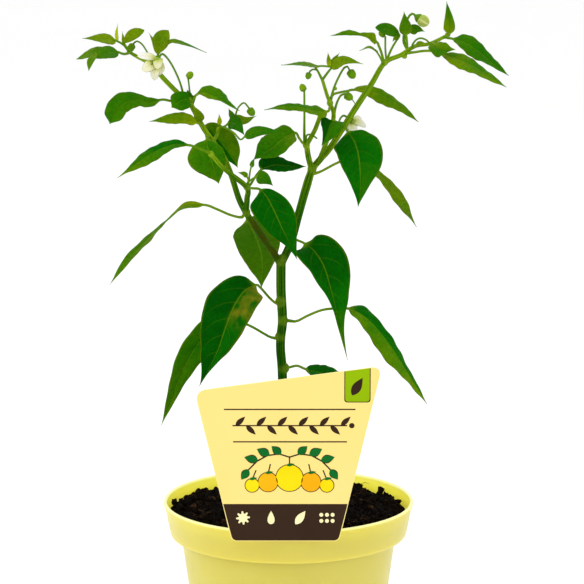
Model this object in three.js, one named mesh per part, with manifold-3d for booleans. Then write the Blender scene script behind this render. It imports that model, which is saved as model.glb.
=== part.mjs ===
// Potted chilli pepper plant in a round nursery pot, with a plant label on a stake.
// Millimetres, +Z up. The origin is the centre of the pot's flat base, on the surface it stands on.
// +X is to the right and +Y is away from someone who looks at the label.
import * as THREE from 'three';
import { mergeVertices } from 'three/addons/utils/BufferGeometryUtils.js';
import Module from 'manifold-3d';

const wasm = await Module();
wasm.setup();

// Pot: a round nursery pot with a stepped band round its mouth and a lip that stands out from the band.
const POT_HEIGHT = 100;
const RIM_RADIUS = 62.1;
const RIM_LIP = 1.6;
const LIP_DEPTH = 1.9;
const LIP_OVERHANG = 0.6;
const BAND_DEPTH = 17;
const BAND_BOTTOM_RADIUS = 58.8;
const SHOULDER_RADIUS = 53.5;
const BASE_RADIUS = 42;
const POT_WALL = 1.5;
const BASE_CHAMFER = 1.2;
const BASE_THICKNESS = 2.2;
const POT_SIDES = 36;
const DRAIN_RADIUS = 3.5;
const DRAIN_CIRCLE = 30;
const DRAIN_COUNT = 6;

// Soil: peat that fills the pot to a few millimetres below its lip.
const SOIL_BELOW_LIP = 4.6;
const SOIL_CROWN = 1.2;
const LUMP_HEIGHT = 1.1;
const LUMP_SPACING = { across: 20, deep: 23, slanting: 31 };
const SOIL_RINGS = 8;
const SOIL_GAP = 0.5;
const FOOT_HOLE_LENGTH = 60;
const CLEARANCE = 0.3;
const STEM_CLEARANCE = 0.4;

// Label: a tapered card in front of the lip, held by a stake that steps over the lip into the soil.
const CARD_THICKNESS = 0.8;
const CARD_TOP_LEFT = [-44.5, 169.4];
const CARD_TOP_RIGHT = [44.6, 181.6];
const CARD_BOTTOM_RIGHT = [24.3, 95.8];
const CARD_BOTTOM_LEFT = [-27, 95.8];
const CARD_TOP_ROUND = 6;
const CARD_BOTTOM_ROUND = 2.5;
const STAKE_WIDTH = 14;
const STAKE_THICKNESS = 1.2;
const STAKE_TOP = 150;
const STAKE_STEP_TOP = 107;
const STAKE_STEP_BOTTOM = 102;
const STAKE_TIP = 50;
const STAKE_TIP_DEPTH = 34;

// Foliage: stems are grown round this axis, and every blade has this thickness.
const BLADE_THICKNESS = 0.6;
const STALK_RADIUS = 0.65;
const STALK_IN_BLADE = 0.03;
const STEM_SIDES = 6;
const THICK_ROUTES = 5;
const STEM_SPAN = 14;
const SHOOT_SIDES = 5;
const TWIG_SIDES = 4;
const TWIG_SPAN = 6;
const ROW_CROWDING = 1.3;

// Where a viewer stands: a point is given by its place in the front picture and its depth
// behind the pot's axis, and lies on the sight line through that place.
const VIEW_FOCAL = 3000;
const VIEW_MIDDLE = 292;
const VIEW_POINT = new THREE.Vector3(1.8, -1450, POT_HEIGHT + 383);
const VIEW_PITCH = THREE.MathUtils.degToRad(10.85);
const VIEW_FORWARD = new THREE.Vector3(0, Math.cos(VIEW_PITCH), -Math.sin(VIEW_PITCH));
const VIEW_UP = new THREE.Vector3(0, Math.sin(VIEW_PITCH), Math.cos(VIEW_PITCH));

function seen([across, down, depth]) {
  const ray = VIEW_FORWARD.clone()
    .addScaledVector(VIEW_UP, (VIEW_MIDDLE - down) / VIEW_FOCAL)
    .add(new THREE.Vector3((across - VIEW_MIDDLE) / VIEW_FOCAL, 0, 0));
  return VIEW_POINT.clone().addScaledVector(ray, (depth - VIEW_POINT.y) / ray.y);
}

// Finishes, from the look of each piece.
const FINISHES = {
  pot: { color: 0xe6dc74, roughness: 0.42 },
  soil: { color: 0x1f1711, roughness: 0.95 },
  card: { color: 0xfaeb92, roughness: 0.4 },
  stake: { color: 0xf1ecd2, roughness: 0.45 },
  stem: { color: 0x4f8a12, roughness: 0.5 },
  leaf: { color: 0x1f7a0c, roughness: 0.38 },
  young: { color: 0x68a513, roughness: 0.42 },
  petal: { color: 0xeeeeda, roughness: 0.5 },
  stamen: { color: 0xc9c46a, roughness: 0.6 },
};

// Large leaves. The stalk runs from the middle of the stem to the blade's base, and the midrib on
// to the tip, both as [across, down, depth]. "left" and "right" are the blade's widths on either side
// of the midrib, at the rows between base and tip, seen on the upper side. "roll" turns the upper
// side from facing the viewer toward the right half, in degrees at the base and at the tip. "fold"
// lifts both halves, "lobe" sweeps them back at the base, and "wave" is the height of its waves.
const LARGE_LEAVES = [
  {
    name: 'leaf_trunk_upper_left', roll: [24, 30], fold: 22, lobe: 0.1, wave: 0.8,
    left: [11.5, 14, 11, 3.5], right: [9.5, 15, 13, 7.5],
    stalk: [[281, 303, 0], [276, 303.1, -3], [269.6, 297.9, -8], [260.6, 287.8, -14]],
    midrib: [[255.8, 285, -17], [244.6, 291, -22], [234.5, 306, -26], [226, 327, -29], [217, 352.6, -31],
      [199.4, 386, -31]],
  },
  {
    name: 'leaf_trunk_lower_left', roll: [-25, -30], fold: 18, lobe: 0.1, wave: 0.8,
    left: [7, 7.5, 6, 3], right: [7.5, 8, 7.5, 4.5],
    stalk: [[280.5, 338.5, 0], [271.6, 337.5, 3], [264.9, 334.2, 5], [254.3, 328, 8], [246.2, 324.2, 10]],
    midrib: [[233, 320, 13], [212, 329, 15], [194.5, 349, 15], [180, 377, 13], [161.5, 425, 8]],
  },
  {
    name: 'leaf_trunk_right', roll: [-46, -48], fold: 4, lobe: 0.1, wave: 0.8,
    left: [4, 4, 5, 2.2], right: [5, 7, 8, 3.3],
    stalk: [[282.5, 320.5, 0], [288, 320.5, -1], [296.4, 321.3, -3], [307, 316, -5], [321, 310.3, -7],
      [333, 308.6, -8]],
    midrib: [[348, 308.5, -10], [362, 315, -13], [378, 330, -16], [396, 355, -19], [427, 404, -20]],
  },
  {
    name: 'leaf_trunk_low', roll: [-40, -40], fold: 16, lobe: 0.1, wave: 0.6,
    left: [2.8, 4, 5.5, 5], right: [7.5, 8.5, 8, 5.5],
    stalk: [[282.5, 368.5, 0], [289.7, 367.2, 4], [297.4, 365.8, 9]],
    midrib: [[305.5, 369, 14], [318, 372, 20], [333, 378, 26], [352, 392, 31]],
  },
  {
    name: 'leaf_right_branch_low', roll: [-22, -20], fold: 24, lobe: 0.4, wave: 0.9,
    left: [10.6, 12.5, 8.5, 2], right: [11.2, 9, 3, 1.6],
    stalk: [[292, 238, 3], [298, 240.5, -1]],
    midrib: [[304.5, 243.5, -6], [314, 251, -10], [323.5, 266, -14], [330, 287, -17], [335.8, 309, -19],
      [341.5, 333, -20], [347.6, 360.4, -19]],
  },
  {
    name: 'leaf_left_branch_back', roll: [172, 176], fold: 10, lobe: 0.45, wave: 0.6,
    left: [8.6, 10.6, 10.4, 7.2], right: [6, 8.5, 11, 5.5],
    stalk: [[247, 214, -9], [248, 217, -4]],
    midrib: [[247, 220, 2], [252, 229, 9], [258, 243, 16], [262, 261, 22], [261.6, 288, 27]],
  },
  {
    name: 'leaf_left_branch_low', roll: [36, 166], fold: 4, lobe: 0.1, wave: 0.6,
    left: [3, 3.5, 5, 3], right: [2.5, 3.5, 5, 2.5],
    stalk: [[245, 212, -9], [241.8, 217.2, -11], [230.5, 215, -15], [216.5, 209, -20]],
    midrib: [[205, 205, -24], [186, 205.5, -29], [168, 219, -34], [149, 237, -39], [130, 257, -43],
      [109.5, 285, -46]],
  },
  {
    name: 'leaf_left_branch_front', roll: [3, 3], fold: 14, lobe: 0, wave: 0.7,
    left: [4.5, 8.5, 8.5, 4], right: [9, 10, 7.5, 2.5],
    stalk: [[246.5, 188, -17], [253, 188.3, -21]],
    midrib: [[260, 189.5, -25], [267, 197, -29], [274.5, 211.5, -32], [281.5, 227, -33], [289, 242, -31],
      [297.3, 260, -27]],
  },
  {
    name: 'leaf_left_fork_right', roll: [-28, -36], fold: 12, lobe: 0.1, wave: 0.5,
    left: [5, 6, 5, 2.6], right: [2, 3.5, 4, 3],
    stalk: [[246.5, 187, -17], [250.5, 184.5, -15], [254.5, 178, -12]],
    midrib: [[261, 170, -9], [267.5, 167, -6], [276.5, 165.2, -3], [290, 166, 0], [306, 166.5, 2]],
  },
  {
    name: 'leaf_inner_shoot_left', roll: [22, 30], fold: 14, lobe: 0.1, wave: 0.7,
    left: [4.5, 6.5, 6.5, 4], right: [5.5, 7, 8, 6],
    stalk: [[306.5, 145, 6], [302.7, 143, 4], [299, 138, 2]],
    midrib: [[295, 132.8, -1], [284, 138, -6], [272, 148.5, -10], [253, 160, -14]],
  },
  {
    name: 'leaf_left_top_hanging', roll: [-4, 4], fold: 10, lobe: 0.1, wave: 0.9,
    left: [4.2, 6.4, 7.6, 5.6], right: [3.4, 5, 5.2, 3],
    stalk: [[203, 127, 0.7], [202.6, 126, 4]],
    midrib: [[203.6, 126, 6.6], [211, 131.4, 8.5], [219.8, 141, 9.3], [229, 153.5, 9], [237.8, 168, 7]],
  },
  {
    name: 'leaf_left_shoot_hanging', roll: [4, 0], fold: 12, lobe: 0.1, wave: 0.5,
    left: [4, 7, 7, 4.2], right: [7, 11, 10, 4.5],
    stalk: [[209.5, 136.8, -1], [208, 137, -9]],
    midrib: [[206.6, 140, -17], [208.5, 150, -20], [212, 162, -21], [215.5, 173.5, -20], [219, 184, -18]],
  },
  {
    name: 'leaf_left_knob_side', roll: [36, 40], fold: 5, lobe: 0.1, wave: 0.6,
    left: [1.8, 3.6, 4.7, 3.2], right: [2.3, 4.2, 4, 1.8],
    stalk: [[211, 154, -33], [203.5, 150.3, -36], [195, 147, -39]],
    midrib: [[189, 145.2, -41], [174, 144.4, -45], [154, 152.5, -50], [136.5, 163.5, -54], [117.4, 178, -57]],
  },
  {
    name: 'leaf_left_side', roll: [38, 10], fold: 18, lobe: 0.1, wave: 1.2,
    left: [3.6, 5.2, 4.9, 5.8], right: [1.6, 3.4, 5.4, 5.6],
    stalk: [[182, 96.7, 5.5], [175, 100.9, 3], [169, 100.6, 0]],
    midrib: [[162.5, 99.6, -3], [149, 101.3, -6], [134.5, 99.8, -10], [119.6, 106.6, -14], [109.6, 124, -17]],
  },
  {
    name: 'leaf_left_round', roll: [0, 0], fold: 10, lobe: 0.3, wave: 0.3,
    left: [3.8, 4.7, 4.8, 4.1], right: [3, 4.2, 4.9, 4.4],
    stalk: [[187, 100.8, 4.3], [188.5, 99.8, 0]],
    midrib: [[189.6, 98.6, -4], [181, 100.8, -7], [171.4, 107.6, -9]],
  },
  {
    name: 'leaf_left_pale', roll: [26, 32], fold: 6, lobe: 0.2, wave: 0.4,
    left: [2.2, 2.7, 3.1, 2.1], right: [2.8, 4, 3, 1.3],
    stalk: [[203, 127, 0], [200.5, 124.5, -3]],
    midrib: [[197, 122.8, -5], [183, 119, -9], [167, 118.6, -13], [149, 121.5, -17]],
  },
  {
    name: 'leaf_left_arched', roll: [-40, -44], fold: 14, lobe: 0.15, wave: 0.9,
    left: [3.6, 4.7, 5.2, 2.4], right: [1.5, 2.7, 2, 0.8],
    stalk: [[189, 102.5, 4], [193.3, 100, 2]],
    midrib: [[196.5, 94.8, 0], [205, 92.8, -4], [218, 98.5, -9], [229, 105, -13], [239.6, 110.9, -15]],
  },
  {
    name: 'leaf_inner_shoot_flat', roll: [48, 54], fold: 4, lobe: 0.1, wave: 0.5,
    left: [4.5, 3.5, 3, 2.5], right: [4.2, 3.9, 3, 1.6],
    stalk: [[330, 103, 4], [329.5, 108, 1]],
    midrib: [[327, 111.5, -2], [313, 110.5, -7], [298, 106.8, -11], [281, 106.8, -14], [264, 110, -17]],
  },
  {
    name: 'leaf_inner_shoot_dark', roll: [8, 0], fold: 24, lobe: 0.2, wave: 0.4,
    left: [6.3, 7.2, 6.5, 3.3], right: [5, 5.2, 3, 1.3],
    stalk: [[333.5, 118, 6], [333, 119.2, 4]],
    midrib: [[332, 120.6, 1], [329, 127.5, -4], [325.5, 136.5, -8], [321.5, 146, -11]],
  },
  {
    name: 'leaf_right_branch_heart', roll: [0, 0], fold: 12, lobe: 0, wave: 0.8,
    left: [7, 12, 11, 4.5], right: [10, 10.5, 9, 4.5],
    stalk: [[345, 125, 19.5], [346, 128, 16]],
    midrib: [[348, 131.5, 12], [354, 140.5, 7], [358, 153, 2], [360, 170, -2], [360, 189, -4],
      [358, 207.4, -4]],
  },
  {
    name: 'leaf_right_branch_back', roll: [-122, -126], fold: 2, lobe: 0.1, wave: 0.5,
    left: [3.5, 4, 4.5, 4], right: [2.7, 2.5, 3.5, 3.3],
    stalk: [[311.5, 174, 13], [320.3, 171.7, 17], [337.9, 162.6, 24]],
    midrib: [[350, 159.5, 28], [367, 165, 31], [385, 178.5, 33], [400, 198, 33], [416.7, 227.4, 30]],
  },
  {
    name: 'leaf_inner_shoot_right', roll: [-40, -44], fold: 2, lobe: 0.1, wave: 0.6,
    left: [2.5, 3.6, 4.4, 3.2], right: [2.5, 4.2, 4.9, 3.1],
    stalk: [[330, 101, 4], [333, 94.7, 10], [340.3, 92.3, 17], [347.6, 91, 24]],
    midrib: [[352.5, 89.8, 28], [367, 90.2, 32], [385, 97.3, 35], [401, 107.5, 36], [418.5, 122, 34]],
  },
  {
    name: 'leaf_right_tip_upper', roll: [-36, -36], fold: 8, lobe: 0.3, wave: 0.6,
    left: [5, 5.4, 4.3, 3], right: [2.8, 4.8, 5.4, 2.6],
    stalk: [[444, 37, 21], [448, 38, 19]],
    midrib: [[452.5, 38.8, 17], [466, 43.3, 12], [482, 54.5, 7], [496.5, 66.5, 2], [508.8, 75.7, -2]],
  },
  {
    name: 'leaf_right_tip_lower', roll: [-42, -40], fold: 5, lobe: 0.1, wave: 0.5,
    left: [3.7, 4.7, 3.8, 2.8], right: [3.3, 4.9, 5.1, 3.4],
    stalk: [[405, 53, 25], [414, 52.3, 21], [423, 51, 17], [431.4, 51, 13]],
    midrib: [[441, 53.4, 8], [457, 59, 2], [474, 66.8, -5], [490, 77, -11], [506.4, 87.2, -15]],
  },
  {
    name: 'leaf_right_tip_dark', roll: [-8, 10], fold: 18, lobe: 0.1, wave: 0.6,
    left: [2.3, 3.3, 3.8, 3.5], right: [3.2, 3.8, 4.4, 1.2],
    stalk: [[434, 42.4, 22], [433.4, 43, 17]],
    midrib: [[433, 44.3, 11], [439, 48.8, 4], [446.5, 50.2, -1], [455.6, 49.5, -5]],
  },
  {
    name: 'leaf_right_tip_upright', roll: [0, -6], fold: 14, lobe: 0.1, wave: 0.2,
    left: [2.8, 2.9, 2.2, 1.2], right: [2.5, 2.8, 2, 0.9],
    stalk: [[446.5, 34.6, 21.8], [448.2, 35.4, 23.4]],
    midrib: [[449.3, 34.3, 25], [449.4, 24, 28.4], [448.5, 12, 32], [446.5, 1, 35]],
  },
  {
    name: 'leaf_right_fork_left', roll: [40, 46], fold: 16, lobe: 0, wave: 0.5,
    left: [1.9, 3, 1.7, 0.9], right: [4.8, 3.3, 2.2, 2.6],
    stalk: [[384, 63, 24], [381.5, 53, 22], [378.6, 45.5, 20]],
    midrib: [[376.5, 42, 18], [364.5, 35.8, 13], [349, 34.2, 8], [330.5, 35.6, 4]],
  },
];

// Sprays of small young leaves. A twig is a route with the radii of its two ends. A small leaf's
// route runs from its base to its tip, and a bud hangs at the end of its stalk.
const SPRAYS = [
  {
    name: 'spray_left_tip',
    twigs: [
      { route: [[136, 56, 8], [130.4, 52.5, 7], [125.5, 46.5, 5], [123.5, 43, 4]], radii: [0.9, 0.7] },
      { route: [[130.4, 52.5, 7], [124, 54, 2], [118, 52, -4]], radii: [0.6, 0.5] },
      { route: [[125.5, 46.5, 5], [120, 42.5, 2], [114, 40, -2]], radii: [0.55, 0.45] },
    ],
    leaves: [
      { route: [[115.5, 40.6, -1], [100, 38.8, -6], [82.2, 38.3, -10]], halves: [3.6, 3.6], roll: [38, 38] },
      { route: [[117.2, 41.4, 1], [116.5, 33, 3], [118, 23.4, 6]], halves: [1, 1], roll: [30, 30] },
      { route: [[124, 44, 4], [123.2, 38, 5], [122.2, 31.4, 6]], halves: [0.9, 0.9], roll: [0, 0] },
      { route: [[124, 43.2, 4.2], [133.5, 34.5, 9], [144.4, 30, 12]], halves: [3, 2.8], roll: [0, -20],
        blunt: 0.9, taperOff: 0.8 },
      { route: [[118.6, 52.4, -3.4], [107, 53, -11], [91.8, 58, -18]], halves: [3.6, 3.8], roll: [20, 20],
        blunt: 0.7, taperOff: 0.9 },
      { route: [[118, 52, -3.8], [98, 50.8, -3], [76.3, 59.3, 3]], halves: [3.4, 3], roll: [40, 50],
        blunt: 1.2, taperOff: 1 },
      { route: [[96, 54, -15.5], [91, 61, -20], [88.6, 71, -23]], halves: [2.2, 2.2], roll: [40, 20],
        blunt: 0.8, taperOff: 1.2 },
    ],
    buds: [],
  },
  {
    name: 'spray_left_flower',
    twigs: [
      { route: [[155.5, 69, 8], [157.6, 60, 10], [158, 53, 11]], radii: [0.6, 0.6] },
      { route: [[158, 54.5, 11], [162, 49.5, 12], [166.5, 44, 13]], radii: [0.5, 0.4] },
    ],
    leaves: [
      { route: [[158, 54, 11], [154.5, 43, 12], [148.6, 32.4, 15]], halves: [1.4, 1.4], roll: [0, 0] },
      { route: [[158.3, 53.5, 10.5], [161.5, 41, 6], [168.5, 30.2, 1]], halves: [4.6, 4], roll: [0, 0],
        blunt: 0.9, taperOff: 0.8 },
      { route: [[165.5, 45, 12.8], [173, 41.4, 14], [188, 45.2, 17], [206.7, 52.7, 19]], halves: [2.2, 2.2],
        roll: [-50, -70] },
    ],
    buds: [
      { stalk: [[157.8, 58.5, 10.2], [153, 57.5, 13], [148.3, 53.6, 14], [142.7, 45, 13], [137.5, 41.3, 13],
        [134.5, 42.6, 13]], at: [131.4, 47, 13], radius: 2.2 },
    ],
  },
  {
    name: 'spray_left_middle',
    twigs: [
      { route: [[221.6, 127.2, 4], [220, 126, 4.4], [219, 124.4, 4.8]], radii: [0.55, 0.5] },
      { route: [[218.4, 128.3, 4], [221.6, 127.2, 4], [225.4, 126, 3], [230, 121.5, 2], [235.5, 116, 2]],
        radii: [0.6, 0.5] },
      { route: [[221.6, 127.2, 4], [226, 128, -3], [234, 133, -11], [240.4, 139.5, -17], [245, 136.4, -19]],
        radii: [0.5, 0.45] },
    ],
    leaves: [
      { route: [[219.1, 125, 4.7], [219.6, 120, 5], [219, 113.6, 6]], halves: [1.2, 1.2], roll: [0, 0] },
      { route: [[228.5, 122.6, 2], [236, 124.4, -4], [244.8, 135.6, -9]], halves: [4.4, 4], roll: [0, 0] },
      { route: [[233, 118.2, 2], [231, 113.5, 3], [228.4, 108.3, 4]], halves: [1.5, 1.5], roll: [0, 0] },
      { route: [[234.5, 117, 2], [245, 119.6, 5], [256.6, 115.8, 8]], halves: [2, 3], roll: [-20, -20] },
      { route: [[244.6, 136.6, -19], [257, 131.6, -21.5], [271, 131.2, -23], [284, 133.6, -24]],
        halves: [2.9, 3], roll: [-20, -20] },
    ],
    buds: [
      { stalk: [[235.3, 116.2, 2], [238, 108, 1], [243.6, 102.8, 0], [247.8, 106.5, -1]], at: [251.2, 111.6, -1.5],
        radius: 1.9 },
    ],
  },
  {
    name: 'spray_left_knuckle',
    twigs: [
      { route: [[191, 104.5, 4], [190.3, 98, 6], [189.6, 91, 6]], radii: [0.9, 0.5] },
    ],
    leaves: [
      { route: [[190.5, 97.5, 5.6], [188.6, 93.6, 4.6], [187, 89.5, 3]], halves: [1.7, 1.5], roll: [0, 0] },
      { route: [[190.6, 100, 5.5], [192.2, 99, 9], [194, 104.5, 13]], halves: [2, 2], roll: [0, 0] },
    ],
    buds: [
      { stalk: [[189.7, 93, 6], [188.9, 84, 6], [188, 77.8, 5.5]], at: [189.8, 75.3, 5], radius: 1.7 },
    ],
  },
  {
    name: 'spray_left_pale',
    twigs: [
      { route: [[200.9, 123.6, 1.2], [201, 121, -1.5]], radii: [0.75, 0.5] },
    ],
    leaves: [
      { route: [[201, 121.6, -1.2], [197.4, 113, -3.4], [192.4, 104.6, -3.4]], halves: [2.7, 2.5], roll: [0, 0] },
    ],
    buds: [],
  },
  {
    name: 'spray_left_fork',
    twigs: [
      { route: [[247, 186.5, -17], [248.8, 181, -18.5]], radii: [0.9, 0.7] },
      { route: [[248.8, 181, -18.5], [250.2, 171, -20], [252, 164, -21]], radii: [0.5, 0.4] },
      { route: [[248.8, 181, -18.5], [247, 176.5, -19.5]], radii: [0.45, 0.4] },
      { route: [[248.8, 181.4, -18.5], [253, 178.5, -19.5], [257.4, 176, -20]], radii: [0.5, 0.45] },
    ],
    leaves: [
      { route: [[251.8, 167, -20.6], [252.5, 162.5, -21.5], [255, 157.6, -22]], halves: [1.2, 1.2], roll: [0, 0] },
      { route: [[247.2, 176.8, -19.5], [244, 174, -20], [237.6, 172.4, -21]], halves: [1.4, 1.4], roll: [20, 20] },
      { route: [[256.6, 176.2, -19.8], [265.5, 179.6, -21], [273.4, 186, -22]], halves: [3.6, 3.2],
        roll: [0, 0] },
    ],
    buds: [],
  },
  {
    name: 'spray_inner_tip',
    twigs: [
      { route: [[322.3, 80, 2], [318, 71.5, 0], [315, 67, -1]], radii: [0.7, 0.5] },
      { route: [[322.3, 80, 2], [328.5, 71.5, 3], [332.5, 67, 4]], radii: [0.7, 0.5] },
      { route: [[315, 67, -1], [321, 66, 1], [328.5, 66.5, 3], [332.5, 67, 4]], radii: [0.5, 0.5] },
    ],
    leaves: [
      { route: [[318, 66.4, 0], [300, 64.6, -7], [281, 65, -13]], halves: [3.4, 3.4], roll: [62, 66] },
      { route: [[331, 66.9, 4], [345, 61, 0], [363, 63.8, -4]], halves: [3.4, 3.4], roll: [-30, -40] },
      { route: [[329.5, 66.5, 3.4], [328.6, 60, 5], [328, 52, 7]], halves: [1.2, 1.4], roll: [0, 0] },
      { route: [[331.5, 66.5, 4.2], [335, 59, 7], [339.8, 52.6, 9]], halves: [1.6, 1.4], roll: [0, 0] },
    ],
    buds: [
      { stalk: [[317, 70, 0], [313, 69.4, -2], [309.8, 71.5, -4]], at: [308.4, 75.6, -4.5], radius: 1.5 },
    ],
  },
  {
    name: 'spray_right_fork',
    twigs: [
      { route: [[386, 62, 24], [391, 50, 27], [395.5, 42, 29], [399.4, 36.4, 30]], radii: [0.65, 0.5] },
      { route: [[386.5, 61.5, 24], [385.4, 50, 27.5], [385.3, 37, 30.5]], radii: [0.55, 0.5] },
    ],
    leaves: [
      { route: [[399.8, 35.2, 30], [388, 29.6, 27], [375.2, 27.6, 23]], halves: [3.1, 3.2], roll: [10, 10],
        blunt: 0.7, taperOff: 0.7 },
      { route: [[398.6, 37.6, 29.8], [395, 38.4, 27], [392.4, 41.6, 24]], halves: [1.3, 1.3], roll: [0, 0] },
    ],
    buds: [
      { stalk: [[385.3, 38, 30.3], [384, 35, 31]], at: [382.2, 34, 31.5], radius: 1.6 },
    ],
  },
  {
    name: 'spray_right_fork_low',
    twigs: [
      { route: [[383.5, 65, 23.5], [380.3, 57.5, 17], [375.5, 50, 12]], radii: [0.55, 0.45] },
    ],
    leaves: [
      { route: [[377, 51.6, 13.6], [369, 47.8, 8], [359.5, 50.6, 3]], halves: [2, 2], roll: [60, 64] },
    ],
    buds: [],
  },
  {
    name: 'spray_right_crown',
    twigs: [
      { route: [[407.4, 50.4, 25], [407, 42, 27], [406.2, 34, 28]], radii: [0.65, 0.55] },
      { route: [[407.4, 50.4, 25], [404.5, 41, 30], [406.5, 33, 34], [410, 30.5, 35]], radii: [0.6, 0.5] },
      { route: [[407.4, 50.4, 25], [403.5, 41.5, 30], [404.8, 28, 35], [408.6, 17, 36], [412.8, 13.6, 35]],
        radii: [0.55, 0.5] },
    ],
    opening: { name: 'bud_right_fork', middle: [423.3, 20.9, 33.4], base: [415, 15.6, 34.6], radius: 3, cup: 1.9 },
    leaves: [
      { route: [[406, 35, 28], [405.2, 24, 27], [404, 11.2, 26]], halves: [3.3, 3.3], roll: [0, 0] },
      { route: [[409, 31, 35], [416.5, 28.8, 37], [425, 31.6, 38]], halves: [2.6, 2.8], roll: [0, 0] },
    ],
    buds: [],
  },
  {
    name: 'spray_right_tip',
    twigs: [
      { route: [[412.5, 48, 24.5], [412.5, 44.5, 21], [416.5, 39.6, 19], [421.2, 38.2, 19], [426.6, 40.2, 18],
        [430, 44, 16]], radii: [0.5, 0.45] },
      { route: [[413.5, 47.5, 24.5], [414.5, 46, 18], [418, 44.5, 14]], radii: [0.5, 0.4] },
    ],
    leaves: [
      { route: [[415.5, 45.2, 16], [421, 43.4, 12], [428, 45, 8.5]], halves: [1.5, 1.5], roll: [-30, -30] },
    ],
    buds: [],
  },
];

// The stem: the trunk, its two branches and their shoots, as routes with the radii of their ends.
const STEM_ROUTES = [
  {
    radii: [3.3, 3.1, 2.85, 2.35, 2.25, 2.2, 2.3, 2.3],
    route: [[284, 556, 0], [284, 470, 0], [282.5, 379, 0], [280.6, 350, 0], [280.8, 337, 0], [282.5, 320, 0],
      [281, 290, 0], [281, 259, 0]],
  },
  {
    radii: [1.8, 1.55, 1.5, 1.5],
    route: [[280.5, 264, 0], [272.5, 251, -3], [263.9, 239, -5], [246, 213, -9]],
  },
  {
    radii: [1.45, 1.4, 1.35, 1.3, 1.3, 1.25, 1.2, 1.15, 1.15, 1.1, 0.9],
    route: [[246, 213, -9], [239, 199, -9], [231.2, 175, -8], [223.5, 157, -6], [213.7, 143, -3], [202, 125.5, 1],
      [190, 103.5, 4], [179, 94, 6], [165.5, 80.5, 8], [150, 64, 8], [136, 56, 8]],
  },
  {
    radii: [1.4, 1.3, 1.2, 1.05, 0.95],
    route: [[246, 213, -9], [247, 199, -13], [246.4, 187, -17], [225, 169.5, -28], [211, 154, -33]],
  },
  {
    radii: [1.95, 1.95, 1.95, 1.95, 2.05, 1.6, 1.5, 1.45, 1.45, 1.4, 1.25, 1.15, 1, 0.9, 0.8],
    route: [[281.5, 263, 0], [291, 242, 4], [298.5, 215, 8], [305.5, 190, 11], [312, 170, 14], [320, 159.5, 15.5],
      [330, 148, 17], [344.5, 125.5, 20], [357, 106, 21.5], [371.5, 84, 23], [384.5, 63, 24], [400.8, 55, 25],
      [415, 46.2, 24], [430, 43.6, 22.5], [446, 36, 21]],
  },
  { radii: [1.5, 1.35, 1.3], route: [[312, 170, 14], [308.5, 157.5, 10], [306.5, 145, 6]] },
  { radii: [1.15, 1.05, 1], route: [[306.5, 145, 6], [315, 129.8, 8], [321.2, 112.5, 9]] },
  {
    radii: [1.2, 1.15, 1.1, 1, 0.85, 0.75],
    route: [[318, 163, 15], [324, 148.5, 12], [333.5, 118, 6], [330, 103, 4], [327, 95, 3], [322.3, 79.5, 2]],
  },
  { radii: [0.7, 0.6, 0.5], route: [[333.2, 119.5, 6.2], [336, 105.6, 7], [340.3, 96, 9], [345, 93.8, 10]] },
  {
    radii: [0.6, 0.55, 0.5],
    route: [[330.3, 101, 4], [334.2, 87.4, 6], [339, 76.5, 6], [344, 68, 6], [347.4, 66.6, 6]],
  },
  { radii: [0.7, 0.55, 0.5], route: [[306, 146, 6], [304.4, 139, 6], [304.4, 112, 7], [304.3, 91, 8]] },
  { radii: [0.9, 0.85, 0.8], route: [[213.3, 142, -3], [217, 134.5, 1], [218.2, 128.5, 4]] },
  {
    radii: [0.45, 0.4],
    route: [[306.6, 142.5, 6], [306.4, 135.8, 4.6], [311.2, 134.6, 3.4], [316.7, 138.3, 2.4]],
  },
];

// Knobs where stalks leave the stem, and rounded ends of shoots: [across, down, depth, radius].
const STEM_KNOBS = [
  [280, 301.5, -0.8, 2.4], [283.2, 320.3, -0.4, 2.4], [280, 336.6, 0.6, 2.5], [284, 368, 0.8, 2.7],
  [281, 260.5, 0, 2.6], [246.3, 212, -9, 2], [246.6, 187, -17, 1.6], [211, 154, -33, 1.5],
  [312, 169, 14, 2.3], [306.3, 145.5, 6, 1.7], [330, 103, 4, 1.6], [384.6, 62.4, 24, 1.7],
  [404.6, 56.2, 25, 1.3], [335.4, 88.6, 6, 0.9], [190, 102.5, 4, 1.6], [446, 36, 21, 0.85],
  [136, 56, 8, 0.95], [321.2, 112.5, 9, 0.95], [322.3, 79.5, 2, 0.75], [218.2, 128.5, 4, 0.85],
  [316.7, 138.3, 2.4, 0.45],
];

// Closed buds that grow straight from the stem.
const STEM_BUDS = [
  { at: [348.4, 96.4, 10], from: [344.5, 93.8, 10], radius: 2 },
  { at: [351.6, 73.8, 6], from: [347.4, 66.6, 6], radius: 2.1 },
  { at: [302.8, 88, 8], from: [304.3, 91.5, 8], radius: 1.7 },
];

// A withered flower's style on the first of those buds.
const STYLE_ROUTE = [[349.5, 98, 10], [352.4, 99.8, 9.6], [355.5, 104.4, 9]];
const STYLE_RADIUS = 0.35;

// Open flowers, with the stalk that carries each and the middle of its petals.
const FLOWERS = [
  {
    name: 'flower_left', middle: [152.2, 64.2, -5], back: [159.6, 58, 0], spread: 6.8, petals: 5, turn: 0.25,
    stalk: [[184, 97.5, 5], [180.5, 84, 5], [175.3, 71.4, 4.5], [170.2, 62.2, 3.6], [165.4, 56, 2.6],
      [161.6, 56.4, 1.2]],
  },
  {
    name: 'flower_right', middle: [355, 122, 30], back: [350.6, 115.9, 28.7], spread: 5.4, petals: 5, turn: 0.1,
    stalk: [[334.2, 121, 7.5], [338.5, 122, 15], [340.6, 118, 22], [343.6, 115.2, 26.6], [347.6, 114.2, 28]],
  },
];
const PETAL_HALF_WIDTH = 2.1;
const PETAL_DISC = 0.68;
const CUP_RADIUS = 1.6;
const CUP_OVERLAP = 0.8;
const STAMEN_STAND = 0.98;

const uniform = (count, rule) => Array.from({ length: count }, (_, i) => rule(i));
const between = (low, high, share) => low + (high - low) * share;

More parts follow.
